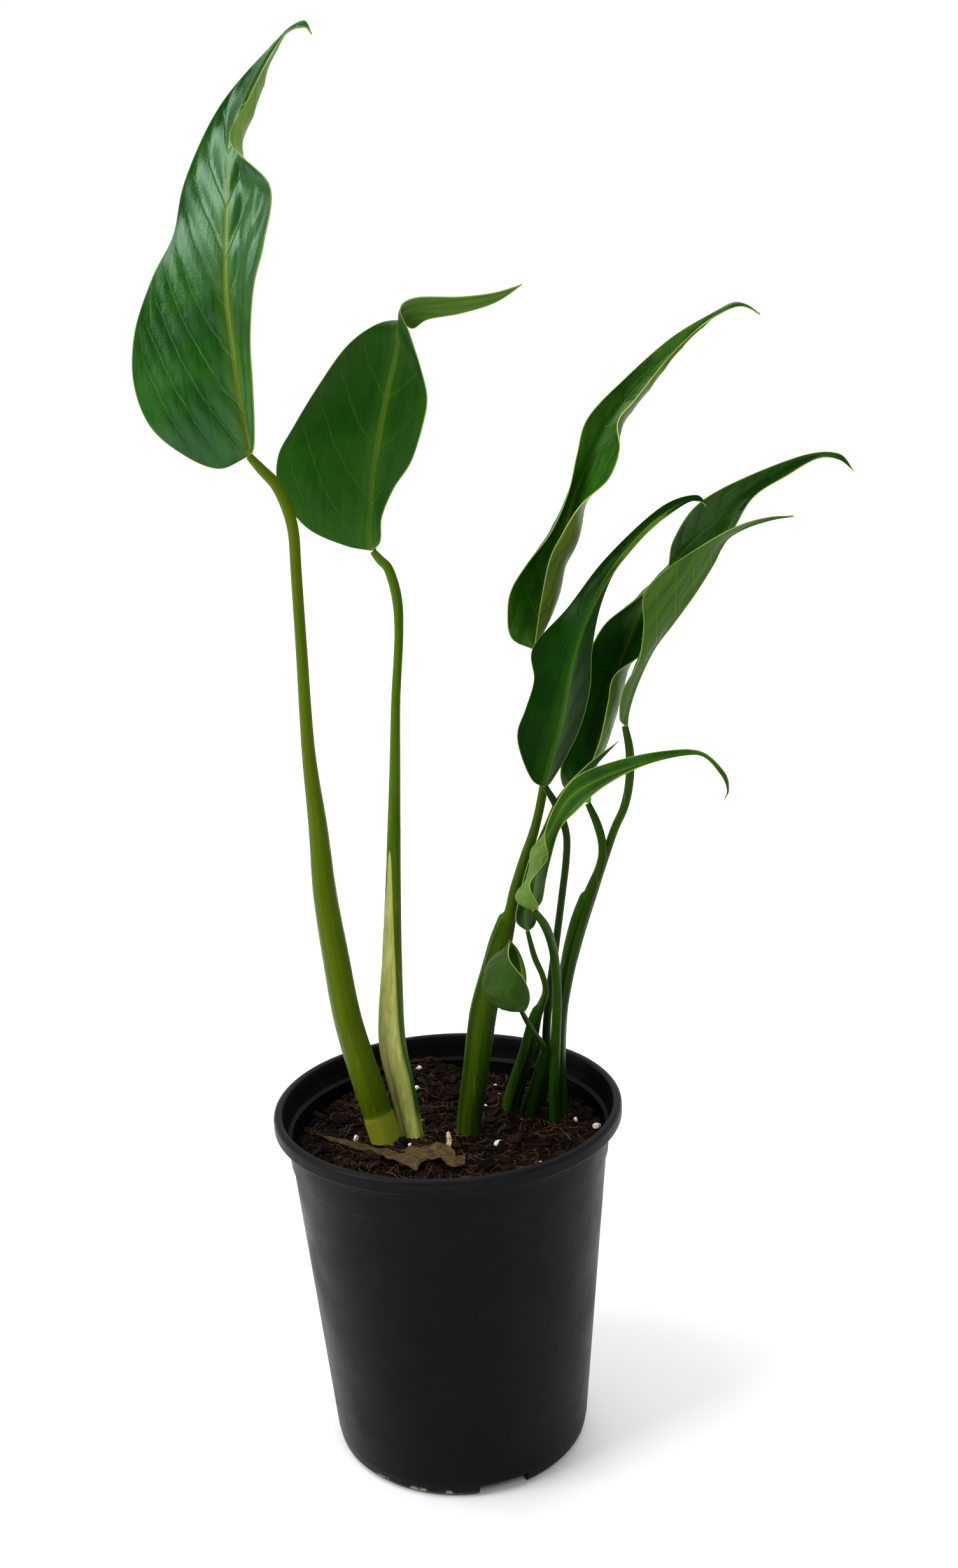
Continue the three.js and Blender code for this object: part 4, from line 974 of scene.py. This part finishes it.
def pot_material():
    """Black moulded plastic: fine grain, faint brown dust in patches, a painted sheen on the rim, and
    pale scuffs where the foot has rubbed."""
    made, tree, shader, at = material("pot_black_plastic")
    z = node(tree, "SeparateXYZ", {"Vector": at}).outputs["Z"]
    base = blend(tree, noise(tree, at, 30.0, 5.0, 0.6), colour("030304"), colour("07070a"))
    dust = use(tree, BLOTCHES, "Mask", At=at, Size=16.0, Cover=0.4, Soft=0.2)
    base = blend(tree, maths(tree, "MULTIPLY", dust, 0.2), base, colour("141312"))
    # painted sheen: the rim's top 8 mm are blended towards a paler grey
    rim = step(tree, z, POT_H - 8 * MM, POT_H - 1 * MM)
    base = blend(tree, maths(tree, "MULTIPLY", rim, 0.35), base, colour("1a1918"))
    grit = noise(tree, at, 900.0, 2.0, 0.7)
    base = blend(tree, step(tree, grit, 0.66, 0.76, 0.0, 0.15), base, colour("3a3733"))
    rubbed = use(tree, BLOTCHES, "Mask", At=at, Size=7.0, Cover=0.34, Soft=0.03)
    band = maths(tree, "MULTIPLY", step(tree, z, 0.8 * MM, 2.2 * MM), step(tree, z, 5.0 * MM, 3.5 * MM))
    worn_side = node(tree, "VectorMath", {0: at, 1: (-0.35, -1, 0)}, operation="DOT_PRODUCT")
    worn_side = worn_side.outputs["Value"]
    band = maths(tree, "MULTIPLY", band, step(tree, worn_side, FOOT_R * 0.75, FOOT_R * 0.95))
    base = blend(tree, maths(tree, "MULTIPLY", maths(tree, "MULTIPLY", rubbed, band), 0.8), base,
                 colour("8f8a7c"))
    fine = use(tree, GRAIN, "Height", At=at, Size=0.55, Lumps=0.3)
    rough = step(tree, noise(tree, at, 45.0, 4.0), 0.3, 0.7, 0.34, 0.46)
    finish_looks(tree, shader, base, rough, fine, 0.00014, Specular_IOR_Level=0.06)
    return made


def crumbly(name, dark, light, rough_low, size, depth, tone_share):
    """An earthy finish: mottled between two colours, each crumb with its own tone."""
    made, tree, shader, at = material(name)
    mottle = noise(tree, at, 1000 / size, 5.0, 0.65)
    own = maths(tree, "MULTIPLY", mark(tree, "tone"), tone_share)
    mix = maths(tree, "ADD", maths(tree, "MULTIPLY", mottle, 1 - tone_share), own)
    base = blend(tree, step(tree, mix, 0.2, 0.8), colour(dark), colour(light))
    fine = use(tree, GRAIN, "Height", At=at, Size=0.35, Lumps=0.5)
    rough = step(tree, mottle, 0.3, 0.7, rough_low, 0.97)
    finish_looks(tree, shader, base, rough, fine, depth, Specular_IOR_Level=0.05)
    return made


def soil_material():
    """Damp potting mix: red-brown on its lumps, with pale specks, and near black between them, which is
    painted shade.
    """
    made, tree, shader, at = material("soil_mix")
    lumps = noise(tree, at, 220.0, 6.0, 0.7)
    # painted shade: where the lump noise is low the mix is near black, as shade between lumps
    base = blend(tree, step(tree, lumps, 0.35, 0.7), colour("020101"), colour("120a06"))
    warm = use(tree, BLOTCHES, "Mask", At=at, Size=5.0, Cover=0.3, Soft=0.1)
    base = blend(tree, maths(tree, "MULTIPLY", warm, 0.5), base, colour("1d0f08"))
    specks = step(tree, noise(tree, at, 1300.0, 2.0, 0.7), 0.68, 0.74)
    base = blend(tree, maths(tree, "MULTIPLY", specks, 0.5), base, colour("4c3a29"))
    fine = use(tree, GRAIN, "Height", At=at, Size=0.8, Lumps=0.5)
    rough = step(tree, lumps, 0.3, 0.7, 0.8, 0.98)
    finish_looks(tree, shader, base, rough, fine, 0.0008, Specular_IOR_Level=0.04)
    return made


def scrap_material():
    """A dry leaf: khaki paper with darker ribs along it and brown spots."""
    made, tree, shader, at = material("dry_leaf_paper")
    run = node(tree, "CombineXYZ", {0: mark(tree, "across"), 1: mark(tree, "along"), 2: 0.0}).outputs[0]
    stretched = node(tree, "Mapping", {"Vector": run, "Scale": (9, 2.5, 1)}).outputs[0]
    ribs = noise(tree, stretched, 1.0, 4.0, 0.6)
    base = blend(tree, step(tree, ribs, 0.3, 0.7), colour("2c2210"), colour("524324"))
    spots = use(tree, BLOTCHES, "Mask", At=at, Size=4.0, Cover=0.25, Soft=0.08)
    base = blend(tree, maths(tree, "MULTIPLY", spots, 0.7), base, colour("22160a"))
    fine = use(tree, GRAIN, "Height", At=at, Size=0.5, Lumps=0.6)
    rough = step(tree, ribs, 0.3, 0.7, 0.6, 0.85)
    finish_looks(tree, shader, base, rough, maths(tree, "ADD", fine, ribs), 0.0003, Specular_IOR_Level=0.12)
    return made


# ---- what lies on the soil ----
def twig(name, node_name):
    """The pale twig: a tube along its node's box, bent a little, with ragged ends and grooves along it."""
    low, high = (np.array(v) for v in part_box(node_name))
    middle = (low + high) / 2
    v = np.linspace(0, 1, 60)
    y = low[1] + (high[1] - low[1]) * v
    x = middle[0] + 0.5 * MM * np.sin(5 * v) + (v - 0.5) * (high[0] - low[0]) * 0.35
    z = middle[2] + 0.4 * MM * np.sin(3 * v)
    turn = np.linspace(0, 2 * np.pi, 25)[:-1]
    grooves = 1 + 0.09 * np.sin(7 * turn) + 0.05 * np.sin(13 * turn + 2)
    radius = 1.25 * MM * (1 - 0.2 * v)[:, None] * grooves * ease(-0.04, 0.06, np.minimum(v, 1 - v))[:, None]
    rings = np.stack([x[:, None] + radius * np.cos(turn), y[:, None] + 0.4 * MM * np.sin(3 * turn)
                      * (v > 0.5)[:, None], z[:, None] - radius * np.sin(turn)], -1)
    points, faces = closed_tube(rings, (x[0], y[0], z[0]), (x[-1], y[-1], z[-1]))
    look = crumbly("twig_bark", "7d6a4c", "cbbb97", 0.7, 2.0, 0.0003, 0.0)
    piece = make_piece(name, points, faces, look, crease=60)
    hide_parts(node_name)


def dry_leaf(name, node_name):
    """The dry leaf: a rumpled sheet along its stations, each rim at its own distance from the middle
    line and ragged by sine waves, with both rims curling up and folds across it."""
    u, t = np.linspace(0, 1, 190), np.linspace(-1, 1, 41)
    mid = spread(in_place(SCRAP), u)
    way = unit(np.gradient(mid, axis=0))
    out = unit(np.stack([way[:, 1], -way[:, 0], 0 * u], -1))
    front, back = (np.interp(u, *np.array(rim).T)[:, None] * MM for rim in (SCRAP_FRONT, SCRAP_BACK))
    ragged = 1 + 0.06 * np.sin(61 * u[:, None] + 4 * t) + 0.05 * np.sin(97 * u[:, None])
    shift = np.where(t > 0, front, back) * ragged * t[None]
    rumple = (0.9 * np.sin(14 * u[:, None] + 2.2 * t) + 0.45 * np.sin(37 * u[:, None] - 5 * t)
              + 0.22 * np.sin(83 * u[:, None] + 11 * t) + 0.9 * t**4 - 0.5) * MM
    grid = mid[:, None] + out[:, None] * shift[..., None]
    grid[..., 2] += rumple
    normal = grid_normals(grid)
    points, faces = shell(grid + normal * 0.15 * MM, grid - normal * 0.15 * MM)
    marks = {"along": np.tile(np.repeat(u, len(t)), 2) * 8, "across": np.tile(np.tile(t, len(u)), 2)}
    piece = make_piece(name, points, faces, scrap_material(), marks)
    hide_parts(node_name)


# ---- greens ----
# What a leaf has where LOOKS says nothing else. Its colours: dark and light above, under and
# under_light below, its veins' and rib's own, and the painted highlight along its margin. In mm: the
# pitch of its side veins, its puff between them, half its rib's and its margin's width, and its wave
# and pleat. lean and bend say how the side veins run, and vein is half their width in pitches. gloss
# is the roughness of the smoothest wax, shine and tint the strength and colour of its reflection,
# ridged the height of its streaks, pale and the shares how strongly a colour or the painted margin
# highlight shows. rib_end and brown are how far along the rib's colour fades out and the tip turns
# brown. rows and columns are the blade's grid.
PLAIN = {
    "dark": "0a2e02", "light": "1b4a08", "vein_colour": "3a6414", "rib_colour": "6c8414",
    "under": "35540f", "under_light": "4c6c20", "margin_highlight_colour": "7f9838", "margin": 0.5,
    "margin_highlight_share": 0.6, "gloss": 0.30, "shine": 0.22, "pitch": 13, "lean": 1.3, "bend": 0.5,
    "puff": 0.35, "rib": 1.3, "rib_end": 0.8, "rib_share": 0.8, "vein": 0.05, "pale": 0.25,
    "ridged": 0.7, "brown": 0.985, "wave": 0.3, "pleat": 0.0, "tint": (0.6, 0.85, 0.35, 1),
    "rows": 170, "columns": 34,
}
LOOKS = {
    "leaf_1": {"dark": "0c3202", "light": "1e4e08", "puff": 0.7, "pitch": 21, "lean": 1.9, "rib": 2.0,
               "gloss": 0.22, "shine": 0.34, "pale": 0.1, "rib_colour": "56680c", "rib_end": 0.9,
               "tint": (0.6, 1, 0.7, 1),
               "vein_colour": "3f5c10", "under": "46601a", "under_light": "5c7a2a", "ridged": 0.5,
               "pleat": 0.7},
    "leaf_2": {"dark": "0c3502", "light": "174404", "gloss": 0.34, "puff": 0.3, "pitch": 24, "rib": 2.3,
               "rib_colour": "3f5e10", "pale": 0.3, "rib_end": 1.0, "under": "2f4c10",
               "under_light": "42601c", "ridged": 0.4, "vein_colour": "2e5a10"},
    "leaf_3": {"dark": "0e3602", "light": "2c5a10", "puff": 0.25, "pitch": 15, "gloss": 0.26, "ridged": 0.9,
               "under": "2f3f08", "under_light": "47590e", "margin_highlight_share": 0.9, "pale": 0.05,
               "rib_share": 0.3, "shine": 0.35, "margin_highlight_colour": "8fa24c"},
    "leaf_4": {"dark": "021e01", "light": "082c02", "puff": 0.2, "pitch": 15, "gloss": 0.34, "rib": 2.4,
               "rib_colour": "2c5008", "rib_share": 0.7, "pale": 0.08, "vein_colour": "1f4a08",
               "shine": 0.07, "ridged": 0.4},
    "leaf_5": {"dark": "0e3204", "light": "2a520c", "puff": 0.15, "pitch": 11, "rib": 0.9, "pale": 0.1,
               "rib_share": 0.3, "under": "3e5a1c", "under_light": "56702e", "gloss": 0.36,
               "margin_highlight_share": 0.7, "brown": 0.96},
    "leaf_6": {"dark": "062c02", "light": "164006", "puff": 0.3, "pitch": 15, "gloss": 0.26,
               "under": "2c480e", "under_light": "46661e", "margin_highlight_share": 0.7, "rib_share": 0.3,
               "pale": 0.1, "shine": 0.3},
    "leaf_7": {"dark": "123604", "light": "26500a", "puff": 0.25, "pitch": 14, "under": "1e3c04",
               "under_light": "34560c", "gloss": 0.28, "pale": 0.1, "rib_share": 0.3,
               "margin_highlight_share": 0.7, "shine": 0.3},
    "leaf_8": {"dark": "021c06", "light": "08300e", "puff": 0.2, "pitch": 9, "rib": 0.8, "rows": 110,
               "columns": 20, "gloss": 0.3, "rib_share": 0.2, "pale": 0.05},
    "leaf_9": {"dark": "1c3a06", "light": "2c4e0c", "puff": 0.15, "pitch": 6, "rib": 0.7, "rows": 90,
               "columns": 40, "gloss": 0.4, "under": "152e02", "under_light": "243f08", "brown": 0.955,
               "margin_highlight_share": 0.9, "wave": 0.1},
}
# stalk: its left side's green, its right side's darker green, which is painted shade, the lines along it
STALK_GREENS_AND_SHADE = {
    "petiole_1": ("425304", "364a02", "667a12"), "petiole_2": ("3e5a06", "2c4a04", "6a8020"),
    "petiole_3": ("2e4604", "122c02", "5f7412"), "petiole_4": ("0e2a02", "061c01", "2c4a0c"),
    "petiole_5": ("1c3c04", "0e2a02", "4f6c14"), "petiole_6": ("183a03", "0c2602", "46681a"),
    "petiole_7": ("1e4004", "123004", "56741c"), "petiole_8": ("244406", "0c2602", "4c6c1a"),
    "petiole_9": ("143004", "0a2002", "42601c"),
}
# paler foot: full below the second height in mm, gone above the first
FOOT_PALE = {"petiole_1": (15.5, 13.5), "petiole_2": (14, 4)}
# collars round the foot: height in mm, how far their edge slants, and how far they stand out in radii
COLLARS = {"petiole_1": [(13, 2.5, 0.07)], "petiole_2": [(9, 1, 0.03)]}
# dry leaf: stations along it, [x, y, height above soil] in mm
SCRAP = [[-63, 5, 1.6], [-49, -5, 2.0], [-37, -16, 2.4], [-25, -24, 2.8], [-13, -24, 2.8], [-3, -27, 2.4],
         [6, -34, 1.8]]
# how far each torn rim lies from the middle line: share of the way along, mm
SCRAP_FRONT = [[0, 0.8], [0.15, 1.6], [0.3, 1.0], [0.42, 2.0], [0.52, 6.0], [0.61, 12.5], [0.68, 5.5],
               [0.75, 3.5], [0.82, 2.6], [0.9, 5.0], [0.96, 5.5], [1, 0.4]]
SCRAP_BACK = [[0, 0.6], [0.12, 1.5], [0.25, 0.8], [0.36, 3.5], [0.46, 5.5], [0.56, 8.5], [0.66, 7.0],
              [0.76, 11.0], [0.84, 9.0], [0.88, 4.5], [0.94, 6.5], [1, 0.4]]


# ---- the object ----
pot()
soil()
for stalk in PETIOLES:
    petiole(stalk)
for leaf_name, leaf_stations in LEAVES.items():
    leaf_blade(leaf_name, leaf_stations, {**PLAIN, **LOOKS[leaf_name]})

perlite = crumbly("perlite_white", "c9c4b8", "f4f1ea", 0.85, 1.2, 0.0004, 0.3)
bark = crumbly("bark_brown", "060302", "20120a", 0.75, 2.5, 0.0005, 0.5)
mix = crumbly("mix_crumbs", "030201", "160d08", 0.8, 1.5, 0.0003, 0.6)
root = crumbly("fibre_tan", "1c130a", "5c4a30", 0.75, 1.5, 0.0001, 0.8)
for k in (1, 2, 3):
    lump(f"perlite_grain_{k}", f"perlite_{k}", perlite, 0.85, 0.16, 10 + k)
    lump(f"bark_flake_{k}", f"bark_chip_{k}", bark, 0.7, 0.14, 20 + k)
twig("twig_bit", "twig_stub")
dry_leaf("dry_leaf_sheet", "leaf_scrap")


def anywhere(x, y):
    """Every crumb stays."""
    return np.ones_like(x)


def back_half(x, y):
    """More crumbs towards the back left."""
    return 0.35 + 0.65 * ease(-40, 50, y - 0.4 * x)


scattered("soil_crumbs", 7000, (0.4, 1.7), (1.2, 0.9, 0.7), mix, 31, anywhere)
scattered("bark_bits", 520, (1.2, 4.2), (1.5, 0.7, 0.3), bark, 32, anywhere, 0.8)
scattered("perlite_bits", 60, (0.8, 1.9), (1, 1, 0.9), perlite, 33, back_half, 0.5)
fibres("root_fibres", 1300, (5, 20), (0.09, 0.26), root, 34)

# ---- stage ----
def pale_floor():
    """A wide pale floor that glows more the farther it lies from the pot, from 0.25 to 1.6 m, so that
    it runs out into the white behind."""
    mesh = bpy.data.meshes.new("floor")
    w = FLOOR_REACH
    mesh.from_pydata([(-w, -w, 0), (w, -w, 0), (w, w, 0), (-w, w, 0)], [], [(0, 1, 2, 3)])
    floor = bpy.data.objects.new("floor", mesh)
    floor.location.z = CAD_LOW.z
    bpy.context.scene.collection.objects.link(floor)
    look, tree, shader, at = material("floor_pale")
    distance = node(tree, "VectorMath", {0: at}, operation="LENGTH").outputs["Value"]
    shader.inputs["Base Color"].default_value = (0.86, 0.86, 0.86, 1)
    shader.inputs["Roughness"].default_value = 0.9
    shader.inputs["Emission Color"].default_value = (1, 1, 1, 1)
    tree.links.new(step(tree, distance, 0.25, 1.6, 0.0, 0.9), shader.inputs["Emission Strength"])
    mesh.materials.append(look)


def studio():
    """The world: white to the camera, and to everything else dim in front, brighter behind, above and
    at both sides."""
    world = bpy.data.worlds.new("studio")
    bpy.context.scene.world = world
    world.use_nodes = True
    sky = world.node_tree
    way = node(sky, "SeparateXYZ", {0: node(sky, "TexCoord", {}).outputs["Generated"]}).outputs
    level_light = step(sky, way["Y"], -0.7, 0.6, 0.10, 0.75)
    side_light = step(sky, maths(sky, "ABSOLUTE", way["X"]), 0.55, 0.95, 0.0, 0.35)
    high_light = step(sky, way["Z"], 0.3, 0.95, 0.0, 0.35)
    light = maths(sky, "ADD", maths(sky, "ADD", level_light, side_light), high_light)
    seen = node(sky, "LightPath", {}).outputs["Is Camera Ray"]
    strength = node(sky, "Mix", {0: seen, 2: light, 3: 1.0}).outputs[0]
    sky.nodes["Background"].inputs["Color"].default_value = (1, 1, 1, 1)
    sky.links.new(strength, sky.nodes["Background"].inputs["Strength"])


def soft_light(name, at, towards, size, power):
    """A large square area light; power is in watts."""
    data = bpy.data.lights.new(name, "AREA")
    data.shape, data.size, data.energy = "SQUARE", size, power
    light = bpy.data.objects.new(name, data)
    light.location = at
    light.rotation_mode = "QUATERNION"
    light.rotation_quaternion = (Vector(towards) - Vector(at)).to_track_quat("-Z", "Y")
    bpy.context.scene.collection.objects.link(light)


def camera():
    """The camera: turned a little right and down, and rolled about the way it looks."""
    yaw, pitch, roll = (math.radians(turn) for turn in (CAMERA_YAW, CAMERA_PITCH, CAMERA_ROLL))
    level = Vector((math.cos(yaw), -math.sin(yaw), 0))
    ahead = Vector((math.sin(yaw) * math.cos(pitch), math.cos(yaw) * math.cos(pitch), -math.sin(pitch)))
    upward = level.cross(ahead)
    right = math.cos(roll) * level + math.sin(roll) * upward
    up = -math.sin(roll) * level + math.cos(roll) * upward
    data = bpy.data.cameras.new("camera")
    data.lens, data.sensor_width, data.sensor_fit = LENS, 36, "AUTO"
    made = bpy.data.objects.new("camera", data)
    turned_to = Matrix((right, up, -ahead)).transposed().to_4x4()
    made.matrix_world = Matrix.Translation(CAMERA_AT) @ turned_to
    bpy.context.scene.collection.objects.link(made)
    bpy.context.scene.camera = made


pale_floor()
studio()
soft_light("key_left", (-1.5, -0.7, 1.5), (0, 0, 0.4), 0.9, 32)
soft_light("fill_front", (0.7, -1.7, 1.9), (0, 0, 0.35), 0.8, 16)
soft_light("top_back", (0.3, 0.9, 1.9), (0, 0, 0.4), 1.0, 14)
soft_light("top_left", (-0.9, -0.1, 2.3), (0, 0, 0.5), 0.7, 16)
camera()
bpy.context.scene.view_settings.view_transform = "Standard"
